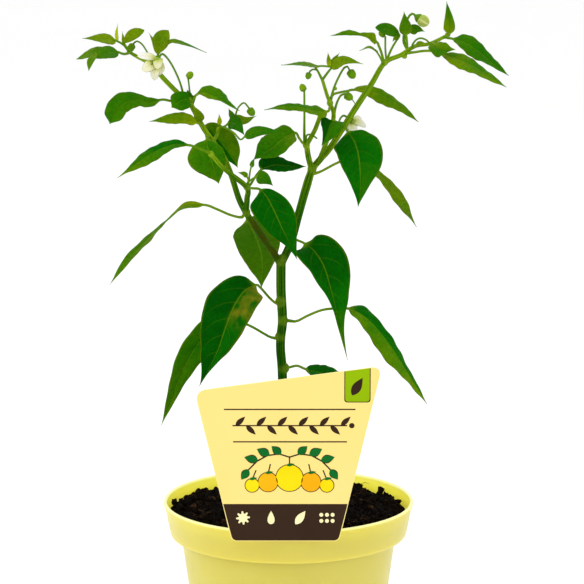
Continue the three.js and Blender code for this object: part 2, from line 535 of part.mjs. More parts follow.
function asSolid(geometry) {
  const bare = geometry.clone();
  bare.deleteAttribute('normal');
  bare.deleteAttribute('uv');
  const merged = mergeVertices(bare, 1e-4);
  const mesh = new wasm.Mesh({
    numProp: 3,
    vertProperties: Float32Array.from(merged.attributes.position.array),
    triVerts: Uint32Array.from(merged.index.array),
  });
  return new wasm.Manifold(mesh);
}

function fromVectors(points, index) {
  const geometry = new THREE.BufferGeometry();
  geometry.setAttribute('position', new THREE.Float32BufferAttribute(points.flatMap((p) => p.toArray()), 3));
  geometry.setIndex(index);
  return asSolid(geometry);
}

const joined = (solids) => solids.reduce((whole, solid) => whole.add(solid));

// The largest body of a cut solid, without the crumbs that the cut leaves.
function mainBody(solid) {
  return solid.decompose().reduce((best, body) => (body.volume() > best.volume() ? body : best));
}

// Curve through points given as [across, down, depth].
function curveThrough(points) {
  return new THREE.CatmullRomCurve3(points.map(seen), false, 'catmullrom', 0.5);
}

// Share of a curve's length that lies before its point number "index".
function shareBefore(curve, index) {
  const divisions = 200;
  const lengths = curve.getLengths(divisions);
  const place = (index / (curve.points.length - 1)) * divisions;
  const low = Math.min(Math.floor(place), divisions - 1);
  return between(lengths[low], lengths[low + 1], place - low) / lengths[divisions];
}

// Radius at a share of the way along a list of radii.
function taper(radii, share) {
  const place = share * (radii.length - 1);
  const low = Math.min(Math.floor(place), radii.length - 2);
  return between(radii[low], radii[low + 1], place - low);
}

// Round tube along a curve: rings of points carried along without twisting, with flat ends.
function tube(curve, radiusAt, { sides, spans, until = 1 }) {
  const points = [];
  let normal = new THREE.Vector3(0.3, -1, 0.2);
  for (let k = 0; k <= spans; k += 1) {
    const share = (until * k) / spans;
    const centre = curve.getPointAt(share);
    const tangent = curve.getTangentAt(share);
    normal = normal.addScaledVector(tangent, -normal.dot(tangent)).normalize();
    const side = new THREE.Vector3().crossVectors(tangent, normal);
    for (let j = 0; j < sides; j += 1) {
      const angle = (2 * Math.PI * j) / sides;
      points.push(centre.clone()
        .addScaledVector(normal, radiusAt(share) * Math.cos(angle))
        .addScaledVector(side, radiusAt(share) * Math.sin(angle)));
    }
  }
  const index = [];
  for (let k = 0; k < spans; k += 1) {
    for (let j = 0; j < sides; j += 1) {
      const a = k * sides + j;
      const b = k * sides + ((j + 1) % sides);
      index.push(a, b, a + sides, b, b + sides, a + sides);
    }
  }
  const last = spans * sides;
  for (let j = 1; j < sides - 1; j += 1) {
    index.push(0, j + 1, j, last, last + j, last + j + 1);
  }
  return fromVectors(points, index);
}

// Faceted ball, stretched along an axis.
function ball(centre, radius, axis = new THREE.Vector3(0, 0, 1), stretch = 1, sides = 5) {
  const shape = new THREE.SphereGeometry(radius, sides, Math.max(3, sides - 2));
  shape.scale(1, stretch, 1);
  shape.applyQuaternion(new THREE.Quaternion().setFromUnitVectors(new THREE.Vector3(0, 1, 0), axis));
  shape.translate(...centre.toArray());
  return asSolid(shape);
}

// Outline of a small leaf: the share of its full half width at a share u of the way from base to tip.
function outline(u, blunt, taperOff) {
  const widest = blunt / (blunt + taperOff);
  return (u / widest) ** blunt * ((1 - u) / (1 - widest)) ** taperOff;
}

// Half width at a share u: read off a large leaf's own widths, which start and end at nothing.
function halfWidth({ halves, left, right, blunt = 0.55, taperOff = 1.5 }, hand, u) {
  if (left) return taper([0, ...(hand < 0 ? left : right), 0], u ** (1 / ROW_CROWDING));
  return (hand < 0 ? halves[0] : halves[1]) * outline(u, blunt, taperOff);
}

// Blade: a thin folded and waved sheet along a curve, split into triangles alike on both faces.
function blade(curve, leaf, start, { rows, columns }) {
  const { roll, fold = 14, lobe = 0, wave = 0 } = leaf;
  const toViewer = VIEW_FORWARD.clone().negate();
  const length = curve.getLength() * (1 - start);
  const lift = THREE.MathUtils.degToRad(fold);
  const upper = [];
  const lower = [];
  for (let i = 0; i <= rows; i += 1) {
    const u = (i / rows) ** ROW_CROWDING;
    const share = between(start, 1, u);
    const centre = curve.getPointAt(share);
    const tangent = curve.getTangentAt(share);
    const front = toViewer.clone().addScaledVector(tangent, -toViewer.dot(tangent)).normalize();
    const right = new THREE.Vector3().crossVectors(tangent, front);
    const turn = THREE.MathUtils.degToRad(between(roll[0], roll[1], u));
    const face = front.clone().multiplyScalar(Math.cos(turn)).addScaledVector(right, Math.sin(turn));
    const side = new THREE.Vector3().crossVectors(tangent, face);
    for (let j = 0; j <= columns; j += 1) {
      const v = (2 * j) / columns - 1;
      const hand = Math.sign(v);
      const half = Math.max(0.45, halfWidth(leaf, hand, u));
      const reach = Math.abs(v) * half;
      const ripple = wave * v * v * Math.sin(Math.PI * (3 * u + 0.4 * hand)) * Math.min(1, half / 3);
      const back = lobe * v * v * half * (1 - u) ** 3;
      const normal = face.clone().multiplyScalar(Math.cos(lift)).addScaledVector(side, -hand * Math.sin(lift));
      const point = centre.clone()
        .addScaledVector(side, hand * reach * Math.cos(lift))
        .addScaledVector(face, reach * Math.sin(lift) - 0.12 * v * v * half + ripple)
        .addScaledVector(tangent, -Math.min(back, 0.25 * length));
      upper.push(point.clone().addScaledVector(normal, BLADE_THICKNESS / 2));
      lower.push(point.clone().addScaledVector(normal, -BLADE_THICKNESS / 2));
    }
  }
  const width = columns + 1;
  const under = upper.length;
  const index = [];
  for (let i = 0; i < rows; i += 1) {
    for (let j = 0; j < columns; j += 1) {
      const a = i * width + j;
      const b = a + 1;
      const c = a + width;
      const d = c + 1;
      index.push(a, b, c, b, d, c, under + a, under + c, under + b, under + b, under + c, under + d);
    }
    const l = i * width;
    const r = l + columns;
    index.push(l, l + width, under + l, l + width, under + l + width, under + l);
    index.push(r, under + r, r + width, r + width, under + r, under + r + width);
  }
  for (let j = 0; j < columns; j += 1) {
    const tip = rows * width + j;
    index.push(j, under + j, j + 1, j + 1, under + j, under + j + 1);
    index.push(tip, tip + 1, under + tip, tip + 1, under + tip + 1, under + tip);
  }
  return fromVectors([...upper, ...lower], index);
}

// A bud: a green cup that holds a rounder, closed flower.
function bud(fromPoint, atPoint, radius) {
  const axis = atPoint.clone().sub(fromPoint).normalize();
  const cup = fromPoint.clone().addScaledVector(axis, radius * 0.5);
  return joined([ball(atPoint, radius, axis, 1.15, 6), ball(cup, radius * 0.72, axis, 1.1, 5)]);
}

function stemSolid(extra) {
  const pieces = STEM_ROUTES.map(({ route, radii }, number) => {
    const curve = curveThrough(route);
    const spans = Math.max(3, Math.round(curve.getLength() / STEM_SPAN));
    const sides = number < THICK_ROUTES ? STEM_SIDES : SHOOT_SIDES;
    return tube(curve, (share) => taper(radii, share) + extra, { sides, spans });
  });
  STEM_KNOBS.forEach(([across, down, depth, radius]) => {
    pieces.push(ball(seen([across, down, depth]), radius + extra));
  });
  STEM_BUDS.forEach(({ at, from, radius }) => pieces.push(bud(seen(from), seen(at), radius + extra)));
  const style = curveThrough(STYLE_ROUTE);
  pieces.push(tube(style, () => STYLE_RADIUS + extra, { sides: 4, spans: 3 }));
  return joined(pieces);
}

const stem = stemSolid(0);
const stemRoom = stemSolid(STEM_CLEARANCE);

function largeLeaf(leaf) {
  const curve = curveThrough([...leaf.stalk, ...leaf.midrib]);
  const start = shareBefore(curve, leaf.stalk.length);
  const until = start + STALK_IN_BLADE * (1 - start);
  const radiusAt = (share) => STALK_RADIUS * (share < start ? 1 : 0.8);
  const spans = Math.max(3, Math.min(5, Math.round((curve.getLength() * until) / TWIG_SPAN)));
  const stalk = tube(curve, radiusAt, { sides: TWIG_SIDES, spans, until });
  const sheet = blade(curve, leaf, start, { rows: 5, columns: 4 });
  return mainBody(sheet.add(stalk).subtract(stemRoom));
}

// Petals of a bud that starts to open.
function openingPetals({ middle, base, radius }, extra) {
  const axis = seen(middle).sub(seen(base)).normalize();
  return ball(seen(middle), radius + extra, axis, 1.1, 8);
}

function spray({ twigs, leaves, buds, opening }) {
  const pieces = twigs.map(({ route, radii }) => {
    const curve = curveThrough(route);
    const spans = Math.max(2, Math.round(curve.getLength() / TWIG_SPAN));
    return tube(curve, (share) => taper(radii, share), { sides: TWIG_SIDES, spans });
  });
  leaves.forEach((leaf) => pieces.push(blade(curveThrough(leaf.route), leaf, 0, { rows: 3, columns: 2 })));
  buds.forEach(({ stalk, at, radius }) => {
    pieces.push(tube(curveThrough(stalk), () => 0.45, { sides: TWIG_SIDES, spans: 4 }));
    pieces.push(bud(seen(stalk.at(-1)), seen(at), radius));
  });
  if (!opening) return mainBody(joined(pieces).subtract(stemRoom));
  pieces.push(ball(seen(opening.base), opening.cup));
  return mainBody(joined(pieces).subtract(stemRoom).subtract(openingPetals(opening, CLEARANCE)));
}

// A flower's petals: blades spread round its axis, joined by a small disc.
function corolla({ middle, back, spread, petals, turn }) {
  const centre = seen(middle);
  const axis = centre.clone().sub(seen(back)).normalize();
  const across = new THREE.Vector3(0, 0, 1).cross(axis).normalize();
  const along = new THREE.Vector3().crossVectors(axis, across);
  const sheets = uniform(petals, (k) => {
    const angle = turn + (2 * Math.PI * k) / petals;
    const out = across.clone().multiplyScalar(Math.cos(angle)).addScaledVector(along, Math.sin(angle));
    const lift = [0, 0.6, 0.2, -0.9];
    const points = lift.map((rise, i) => centre.clone()
      .addScaledVector(out, 0.4 + (spread * i) / (lift.length - 1))
      .addScaledVector(axis, rise));
    const curve = new THREE.CatmullRomCurve3(points, false, 'catmullrom', 0.5);
    const toViewer = VIEW_FORWARD.clone().negate();
    const tangent = curve.getTangentAt(0.5);
    const front = toViewer.clone().addScaledVector(tangent, -toViewer.dot(tangent)).normalize();
    const right = new THREE.Vector3().crossVectors(tangent, front);
    const roll = THREE.MathUtils.radToDeg(Math.atan2(axis.dot(right), axis.dot(front)));
    const half = PETAL_HALF_WIDTH;
    return blade(curve, { halves: [half, half], roll: [roll, roll], fold: 8, blunt: 0.5, taperOff: 0.7 }, 0,
      { rows: 3, columns: 2 });
  });
  return joined([ball(centre, 1.5, axis, PETAL_DISC / 1.5, 6), ...sheets]);
}

// Stamens round the style, standing off the middle of the petals.
function stamens({ middle, back }) {
  const centre = seen(middle);
  const axis = centre.clone().sub(seen(back)).normalize();
  const shape = new THREE.LatheGeometry([
    new THREE.Vector2(0, 0), new THREE.Vector2(0.7, 0.1), new THREE.Vector2(1, 1.4),
    new THREE.Vector2(0.5, 2.2), new THREE.Vector2(0.35, 3.2), new THREE.Vector2(0, 3.4),
  ], 7);
  shape.applyQuaternion(new THREE.Quaternion().setFromUnitVectors(new THREE.Vector3(0, 1, 0), axis));
  shape.translate(...centre.clone().addScaledVector(axis, STAMEN_STAND).toArray());
  return asSolid(shape);
}

// Calyx and stalk behind a flower.
function calyx({ middle, back, stalk }) {
  const axis = seen(middle).sub(seen(back)).normalize();
  const half = (seen(middle).distanceTo(seen(back)) - PETAL_DISC - CLEARANCE + CUP_OVERLAP) / 2;
  return joined([
    tube(curveThrough([...stalk, back]), () => 0.5, { sides: TWIG_SIDES, spans: 9 }),
    ball(seen(back).addScaledVector(axis, half - CUP_OVERLAP), CUP_RADIUS, axis, half / CUP_RADIUS, 6),
  ]);
}

// Pot: one turned profile with a stepped band and a lip, and drain holes round its base.
function potSolid() {
  const bandBottom = POT_HEIGHT - BAND_DEPTH;
  const profile = [
    [0, 0], [BASE_RADIUS - BASE_CHAMFER, 0], [BASE_RADIUS, BASE_CHAMFER], [SHOULDER_RADIUS, bandBottom - 0.6],
    [SHOULDER_RADIUS + 0.6, bandBottom], [BAND_BOTTOM_RADIUS - 0.5, bandBottom],
    [BAND_BOTTOM_RADIUS, bandBottom + 0.6], [RIM_RADIUS - LIP_OVERHANG, POT_HEIGHT - LIP_DEPTH - 0.4],
    [RIM_RADIUS, POT_HEIGHT - LIP_DEPTH], [RIM_RADIUS, POT_HEIGHT - 0.9],
    [RIM_RADIUS - 0.4, POT_HEIGHT - 0.3], [RIM_RADIUS - RIM_LIP / 2, POT_HEIGHT],
    [RIM_RADIUS - RIM_LIP, POT_HEIGHT - 0.5], [RIM_RADIUS - RIM_LIP - 0.2, POT_HEIGHT - 2],
    [BAND_BOTTOM_RADIUS - POT_WALL, bandBottom + POT_WALL + 1],
    [SHOULDER_RADIUS - POT_WALL, bandBottom - 1.5],
    [BASE_RADIUS - POT_WALL + 0.3, BASE_THICKNESS], [0, BASE_THICKNESS],
  ].map(([radius, height]) => new THREE.Vector2(radius, height));
  const wall = new THREE.LatheGeometry(profile, POT_SIDES);
  wall.rotateX(Math.PI / 2);
  const drains = uniform(DRAIN_COUNT, (k) => {
    const angle = (2 * Math.PI * (k + 0.5)) / DRAIN_COUNT;
    const drill = new THREE.CylinderGeometry(DRAIN_RADIUS, DRAIN_RADIUS, 4 * BASE_THICKNESS, 8);
    drill.rotateX(Math.PI / 2);
    drill.translate(DRAIN_CIRCLE * Math.cos(angle), DRAIN_CIRCLE * Math.sin(angle), 0);
    return asSolid(drill);
  });
  return asSolid(wall).subtract(joined(drains));
}

// Inner radius of the pot's wall at a height, less the clearance that the soil keeps.
function soilRadius(height) {
  const bandBottom = POT_HEIGHT - BAND_DEPTH;
  const low = [BASE_THICKNESS, BASE_RADIUS - POT_WALL + 0.3];
  const neck = [bandBottom - 1.5, SHOULDER_RADIUS - POT_WALL];
  const step = [bandBottom + POT_WALL + 1, BAND_BOTTOM_RADIUS - POT_WALL];
  const lip = [POT_HEIGHT - 2, RIM_RADIUS - RIM_LIP - 0.2];
  const [from, to] = [[low, neck], [neck, step], [step, lip]].find(([, end]) => height <= end[0]);
  return between(from[1], to[1], (height - from[0]) / (to[0] - from[0])) - SOIL_GAP;
}

// One ripple of the soil's top at a distance along it.
function ripple(distance, spacing, start) {
  return Math.sin((2 * Math.PI * distance) / spacing + start);
}

// Height of the soil: a low crown with lumps, where crossing ripples meet a slanting one.
function soilHeight(x, y) {
  const out = Math.hypot(x, y) / RIM_RADIUS;
  const { across, deep, slanting } = LUMP_SPACING;
  const lumps = ripple(x, across, 0.9) * ripple(y, deep, 1.2) + 0.7 * ripple(x - 0.85 * y, slanting, 1.1);
  return POT_HEIGHT - SOIL_BELOW_LIP + SOIL_CROWN * (1 - out * out) + LUMP_HEIGHT * lumps;
}

// Soil: a turned plug with a lumpy top, and plain holes for the stem's foot and the stake.
function soilSolid() {
  const bandBottom = POT_HEIGHT - BAND_DEPTH;
  const floor = BASE_THICKNESS + CLEARANCE;
  const levels = [floor, bandBottom - 1.5, bandBottom + POT_WALL + 1.3, POT_HEIGHT - SOIL_BELOW_LIP - 2];
  const sides = POT_SIDES;
  const points = [new THREE.Vector3(0, 0, floor)];
  const ring = (radius, heightAt) => uniform(sides, (j) => {
    const angle = (2 * Math.PI * j) / sides;
    const [x, y] = [radius * Math.cos(angle), radius * Math.sin(angle)];
    return new THREE.Vector3(x, y, heightAt(x, y));
  });
  levels.forEach((level) => points.push(...ring(soilRadius(level), () => level)));
  const edge = soilRadius(POT_HEIGHT - SOIL_BELOW_LIP - 2);
  uniform(SOIL_RINGS, (k) => points.push(...ring(edge * (1 - k / SOIL_RINGS), soilHeight)));
  points.push(new THREE.Vector3(0, 0, soilHeight(0, 0)));
  const rings = (points.length - 2) / sides;
  const top = points.length - 1;
  const index = [];
  for (let j = 0; j < sides; j += 1) {
    const next = (j + 1) % sides;
    index.push(0, 1 + next, 1 + j);
    for (let k = 0; k < rings - 1; k += 1) {
      const a = 1 + k * sides + j;
      const b = 1 + k * sides + next;
      index.push(a, b, a + sides, b, b + sides, a + sides);
    }
    const last = 1 + (rings - 1) * sides;
    index.push(last + j, last + next, top);
  }
  const foot = seen(STEM_ROUTES[0].route[0]);
  const room = STEM_ROUTES[0].radii[0] + CLEARANCE;
  const hole = new THREE.CylinderGeometry(room, room, FOOT_HOLE_LENGTH, 16);
  hole.rotateX(Math.PI / 2);
  hole.translate(foot.x, foot.y, foot.z - CLEARANCE + FOOT_HOLE_LENGTH / 2);
  return fromVectors(points, index).subtract(asSolid(hole)).subtract(stakeSolid(SOIL_GAP, SOIL_GAP));
}

const cardBack = -(RIM_RADIUS + CLEARANCE);

// Label card: a four-sided sheet with rounded corners, standing clear of the lip.
function cardSolid() {
  const corners = [
    [CARD_TOP_LEFT, CARD_TOP_ROUND], [CARD_TOP_RIGHT, CARD_TOP_ROUND],
    [CARD_BOTTOM_RIGHT, CARD_BOTTOM_ROUND], [CARD_BOTTOM_LEFT, CARD_BOTTOM_ROUND],
  ];
  const shape = new THREE.Shape();
  corners.forEach(([corner, round], k) => {
    const here = new THREE.Vector2(...corner);
    const before = new THREE.Vector2(...corners.at(k - 1)[0]).sub(here).setLength(round);
    const after = new THREE.Vector2(...corners[(k + 1) % corners.length][0]).sub(here).setLength(round);
    const [start, end] = [here.clone().add(before), here.clone().add(after)];
    if (k === 0) shape.moveTo(start.x, start.y);
    else shape.lineTo(start.x, start.y);
    shape.quadraticCurveTo(here.x, here.y, end.x, end.y);
  });
  shape.closePath();
  const sheet = new THREE.ExtrudeGeometry(shape, { depth: CARD_THICKNESS, bevelEnabled: false, curveSegments: 6 });
  sheet.rotateX(Math.PI / 2);
  sheet.translate(0, cardBack, 0);
  return asSolid(sheet);
}

// Stake: a flat strip behind the card that steps over the lip and goes down into the soil.
// "room" thickens it on all sides, for the slot that it stands in.
function stakeSolid(room, slot = 0) {
  const front = cardBack + CLEARANCE;
  const inside = -(RIM_RADIUS - RIM_LIP - 0.2 - 2 * CLEARANCE) + STAKE_THICKNESS;
  const half = STAKE_THICKNESS / 2 + room;
  const middle = [
    [front + STAKE_THICKNESS / 2, STAKE_TOP], [front + STAKE_THICKNESS / 2, STAKE_STEP_TOP],
    [inside, STAKE_STEP_BOTTOM], [-STAKE_TIP_DEPTH, STAKE_TIP - slot],
  ];
  const outlinePoints = [
    ...middle.map(([y, z]) => new THREE.Vector2(y - half, z)),
    ...middle.map(([y, z]) => new THREE.Vector2(y + half, z)).reverse(),
  ];
  const width = STAKE_WIDTH + 2 * room;
  const strip = new THREE.ExtrudeGeometry(new THREE.Shape(outlinePoints), { depth: width, bevelEnabled: false });
  strip.rotateX(Math.PI / 2);
  strip.rotateZ(Math.PI / 2);
  strip.translate(-width / 2, 0, 0);
  return asSolid(strip);
}

const group = new THREE.Group();

function place(name, solid, finish) {
  const mesh = solid.getMesh();
  const geometry = new THREE.BufferGeometry();
  geometry.setAttribute('position', new THREE.BufferAttribute(Float32Array.from(mesh.vertProperties), 3));
  geometry.setIndex(new THREE.BufferAttribute(Uint32Array.from(mesh.triVerts), 1));
  geometry.computeVertexNormals();
  const piece = new THREE.Mesh(geometry, new THREE.MeshStandardMaterial({ metalness: 0, ...FINISHES[finish] }));
  piece.name = name;
  group.add(piece);
}

place('pot', potSolid(), 'pot');
place('soil', soilSolid(), 'soil');
place('label_card', cardSolid(), 'card');
place('label_stake', stakeSolid(0), 'stake');
place('stem', stem, 'stem');
LARGE_LEAVES.forEach((leaf) => place(leaf.name, largeLeaf(leaf), 'leaf'));
SPRAYS.forEach((item) => {
  place(item.name, spray(item), 'young');
  if (item.opening) place(item.opening.name, openingPetals(item.opening, 0), 'petal');
});
FLOWERS.forEach((flower) => {
  const petals = corolla(flower);
  place(`${flower.name}_petals`, petals, 'petal');
  place(`${flower.name}_stamens`, stamens(flower), 'stamen');
  place(`${flower.name}_calyx`, mainBody(calyx(flower).subtract(stemRoom)), 'young');
});

export default group;
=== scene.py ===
"""A potted chilli pepper plant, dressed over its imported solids.

Lengths are in millimetres until a mesh is written in metres. +Z is up, +X is to the right and +Y is
away from someone who looks at the plant label.
"""
import logging
import math
from dataclasses import dataclass, field
from enum import Enum
from typing import Callable, Sequence

import bpy
import numpy as np
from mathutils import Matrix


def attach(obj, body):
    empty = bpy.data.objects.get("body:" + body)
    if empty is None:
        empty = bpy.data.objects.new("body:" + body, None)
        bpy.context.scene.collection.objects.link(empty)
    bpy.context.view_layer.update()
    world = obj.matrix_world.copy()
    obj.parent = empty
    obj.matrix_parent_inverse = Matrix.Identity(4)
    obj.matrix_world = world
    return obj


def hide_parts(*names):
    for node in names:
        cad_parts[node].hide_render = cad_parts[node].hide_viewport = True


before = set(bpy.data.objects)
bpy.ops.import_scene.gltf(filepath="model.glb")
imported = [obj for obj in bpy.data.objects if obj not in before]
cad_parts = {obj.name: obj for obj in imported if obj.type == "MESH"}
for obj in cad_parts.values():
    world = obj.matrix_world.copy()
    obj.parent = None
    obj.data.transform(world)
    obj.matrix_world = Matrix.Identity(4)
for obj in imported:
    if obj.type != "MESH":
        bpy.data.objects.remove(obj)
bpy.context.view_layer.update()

LOG = logging.getLogger("chilli_plant")
Array = np.ndarray
Spot = tuple[float, float, float]
Pair = tuple[float, float]
Colour = tuple[float, float, float, float]
BLACK, WHITE = (0.0, 0.0, 0.0, 1.0), (1.0, 1.0, 1.0, 1.0)
MM = 0.001
SEED = 20281
UP = np.array([0.0, 0.0, 1.0])
ASKEW = np.array([0.31, -0.94, 0.17])  # a direction that no shoot follows
VEIN_SLANT, VEIN_ARCH, VEIN_STAGGER = 0.1, 0.12, 0.25


def unit(vectors: Array) -> Array:
    """Scales vectors along the last axis to length one."""
    return vectors / np.maximum(np.linalg.norm(vectors, axis=-1, keepdims=True), 1e-12)


def smooth_step(value: Array) -> Array:
    """Rises smoothly from 0 to 1 as the value goes from 0 to 1: three squares less two cubes."""
    value = np.clip(value, 0.0, 1.0)
    return value * value * (3.0 - 2.0 * value)


def circle(count: int) -> Array:
    """Angles of evenly spaced places round a circle."""
    return np.linspace(0.0, 2 * np.pi, count, endpoint=False)


def cloud(points: Array, cell: float, seed: int) -> Array:
    """Smooth noise from -1 to 1: random values on a cubic lattice, blended between its corners.

    Args:
        points: places in millimetres, on the last axis.
        cell: size of a lattice cell in millimetres.
        seed: number that fixes the random values.

    Returns:
        One value for each point.
    """
    size = 32
    table = np.random.default_rng(seed).uniform(-1.0, 1.0, (size, size, size))
    scaled = points / cell
    low = np.floor(scaled).astype(int)
    share = smooth_step(scaled - low)
    total = np.zeros(points.shape[:-1])
    for corner in np.ndindex(2, 2, 2):
        weight = np.prod(np.where(np.array(corner) == 1, share, 1.0 - share), axis=-1)
        x, y, z = np.moveaxis((low + corner) % size, -1, 0)
        total += weight * table[x, y, z]
    return total


def smooth_span(knots: Array, low: Array, share: Array) -> tuple[Array, Array]:
    """Value and slope of uniform Catmull-Rom spans.

    Args:
        knots: the values that are passed through, with one more before and after them.
        low: number of each span, which runs from knot low + 1 to knot low + 2.
        share: how far along its span each result lies.

    Returns:
        The values and the slopes.
    """
    before, here, there, after = (knots[low + k] for k in range(4))
    leave, arrive = (there - before) / 2, (after - here) / 2
    square = 3 * (there - here) - 2 * leave - arrive
    cube = 2 * (here - there) + leave + arrive
    value = here + share * (leave + share * (square + share * cube))
    return value, leave + share * (2 * square + 3 * share * cube)


def rings_round(places: Array, ways: Array, aside: Array, radii: Array, around: int) -> Array:
    """Circles of points round places, square to the ways, counted from the direction beside "aside"."""
    across = unit(np.cross(ways, aside))
    upward = np.cross(across, ways)
    angle = circle(around)
    out = across[:, None] * np.cos(angle)[:, None] + upward[:, None] * np.sin(angle)[:, None]
    return places[:, None] + out * radii[:, None, None]


def upright(radius: Array | float, angle: Array, height: Array | float) -> Array:
    """Points at a radius and an angle round the z axis, and at a height."""
    x = radius * np.cos(angle)
    return np.stack([x, radius * np.sin(angle), height + 0 * x], axis=-1)


@dataclass(frozen=True)
class SightLines:
    """Sight lines of the front picture, along which the plant was measured."""

    focal: float = 3000.0
    middle: float = 292.0
    eye: Spot = (1.8, -1450.0, 483.0)
    pitch: float = math.radians(10.85)

    @property
    def forward(self) -> Array:
        """Direction in which the viewer looks."""
        return np.array([0.0, math.cos(self.pitch), -math.sin(self.pitch)])

    def place(self, spots: Sequence[Spot]) -> Array:
        """Puts spots in space.

        A ray leans from the forward direction by the spot's distance from the picture's middle over
        the focal length, and the point lies where that ray reaches the spot's depth.

        Args:
            spots: (across, down, depth) of each spot.

        Returns:
            One point for each spot.
        """
        across, down, depth = np.asarray(spots, float).reshape(-1, 3).T
        upward = np.array([0.0, math.sin(self.pitch), math.cos(self.pitch)])
        rays = (self.forward + np.outer((self.middle - down) / self.focal, upward)
                + np.outer((across - self.middle) / self.focal, [1.0, 0.0, 0.0]))
        reach = (depth - self.eye[1]) / rays[:, 1]
        return np.array(self.eye) + rays * reach[:, None]


VIEW = SightLines()


class Route:
    """Smooth curve through points: uniform Catmull-Rom spans, with the ends reflected."""

    def __init__(self, points: Array, samples: int = 200) -> None:
        """Measures the curve.

        Args:
            points: the points that it passes through.
            samples: number of short steps that its length is added up from.
        """
        self.count = len(points)
        self.padded = np.vstack([2 * points[0] - points[1], points, 2 * points[-1] - points[-2]])
        self.times = np.linspace(0.0, 1.0, samples + 1)
        steps = np.linalg.norm(np.diff(self._cubic(self.times)[0], axis=0), axis=1)
        self.lengths = np.concatenate([[0.0], np.cumsum(steps)])

    @property
    def length(self) -> float:
        """Length of the whole curve."""
        return float(self.lengths[-1])

    def _cubic(self, times: Array) -> tuple[Array, Array]:
        """Place and speed at times from 0 to 1, by the cubic of the span that each time falls in."""
        place = np.clip(times, 0.0, 1.0) * (self.count - 1)
        low = np.minimum(place.astype(int), self.count - 2)
        return smooth_span(self.padded, low, (place - low)[:, None])

    def at(self, shares: Array) -> tuple[Array, Array]:
        """Places and directions at shares of the curve's length."""
        times = np.interp(np.asarray(shares) * self.length, self.lengths, self.times)
        places, speeds = self._cubic(times)
        return places, unit(speeds)

    def share_of(self, index: int) -> float:
        """Share of the length that lies before a point of the curve."""
        return float(np.interp(index / (self.count - 1), self.times, self.lengths)) / self.length


@dataclass
class Surface:
    """Points, faces, and the values that a finish reads at each point."""

    points: Array
    faces: list[Array]
    values: dict[str, Array] = field(default_factory=dict)

    @staticmethod
    def skin(rings: Array, values: dict[str, Array] | None = None) -> "Surface":
        """Closed skin over rings of points, with a pole in the middle of each end ring.

        Args:
            rings: points as (ring, place on the ring, 3).
            values: three numbers for each point, in the same layout.

        Returns:
            The surface, with its faces out.
        """
        count, around = rings.shape[:2]
        ring, place = np.meshgrid(np.arange(count - 1), np.arange(around), indexing="ij")
        a = (ring * around + place).ravel()
        b = (ring * around + (place + 1) % around).ravel()
        last = (count - 1) * around
        here = np.arange(around)
        there = (here + 1) % around
        low, high = np.full(around, count * around), np.full(around, count * around + 1)
        faces = [
            np.stack([a, b, b + around, a + around], axis=1),
            np.stack([low, there, here], axis=1),
            np.stack([high, last + here, last + there], axis=1),
        ]

        def with_poles(grid: Array) -> Array:
            """Lists a grid's points, then the mean of its first and last rings."""
            return np.vstack([grid.reshape(-1, 3), grid[0].mean(axis=0), grid[-1].mean(axis=0)])

        grids = {name: with_poles(grid) for name, grid in (values or {}).items()}
        return Surface(with_poles(rings), faces, grids).faced_out()

    def faced_out(self) -> "Surface":
        """Turns the faces round where the volume they enclose comes out negative."""
        volume = 0.0
        for block in self.faces:
            corners = self.points[block]
            for k in range(1, block.shape[1] - 1):
                volume += float(np.sum(corners[:, 0] * np.cross(corners[:, k], corners[:, k + 1])))
        if volume < 0:
            self.faces = [block[:, ::-1] for block in self.faces]
        return self

    @staticmethod
    def joined(parts: Sequence["Surface"]) -> "Surface":
        """Puts surfaces together in one, with zeros where a part lacks a value."""
        names = sorted({name for part in parts for name in part.values})
        faces, start = [], 0
        for part in parts:
            faces += [block + start for block in part.faces]
            start += len(part.points)
        values = {
            name: np.vstack([part.values.get(name, np.zeros_like(part.points)) for part in parts])
            for name in names
        }
        return Surface(np.vstack([part.points for part in parts]), faces, values)

    def mesh(self, name: str, smooth: bool = True) -> bpy.types.Mesh:
        """Writes the surface as a mesh in metres, with its values as point attributes."""
        mesh = bpy.data.meshes.new(name)
        sizes = np.concatenate([np.full(len(block), block.shape[1]) for block in self.faces])
        corners = np.concatenate([block.ravel() for block in self.faces])
        mesh.vertices.add(len(self.points))
        mesh.vertices.foreach_set("co", (self.points * MM).astype(np.float32).ravel())
        mesh.loops.add(len(corners))
        mesh.loops.foreach_set("vertex_index", corners.astype(np.int32))
        mesh.polygons.add(len(sizes))
        starts = np.concatenate([[0], np.cumsum(sizes)[:-1]])
        mesh.polygons.foreach_set("loop_start", starts.astype(np.int32))
        mesh.polygons.foreach_set("use_smooth", np.full(len(sizes), smooth))
        mesh.update(calc_edges=True)
        for key, grid in self.values.items():
            layer = mesh.attributes.new(key, "FLOAT_VECTOR", "POINT")
            layer.data.foreach_set("vector", grid.astype(np.float32).ravel())
        return mesh


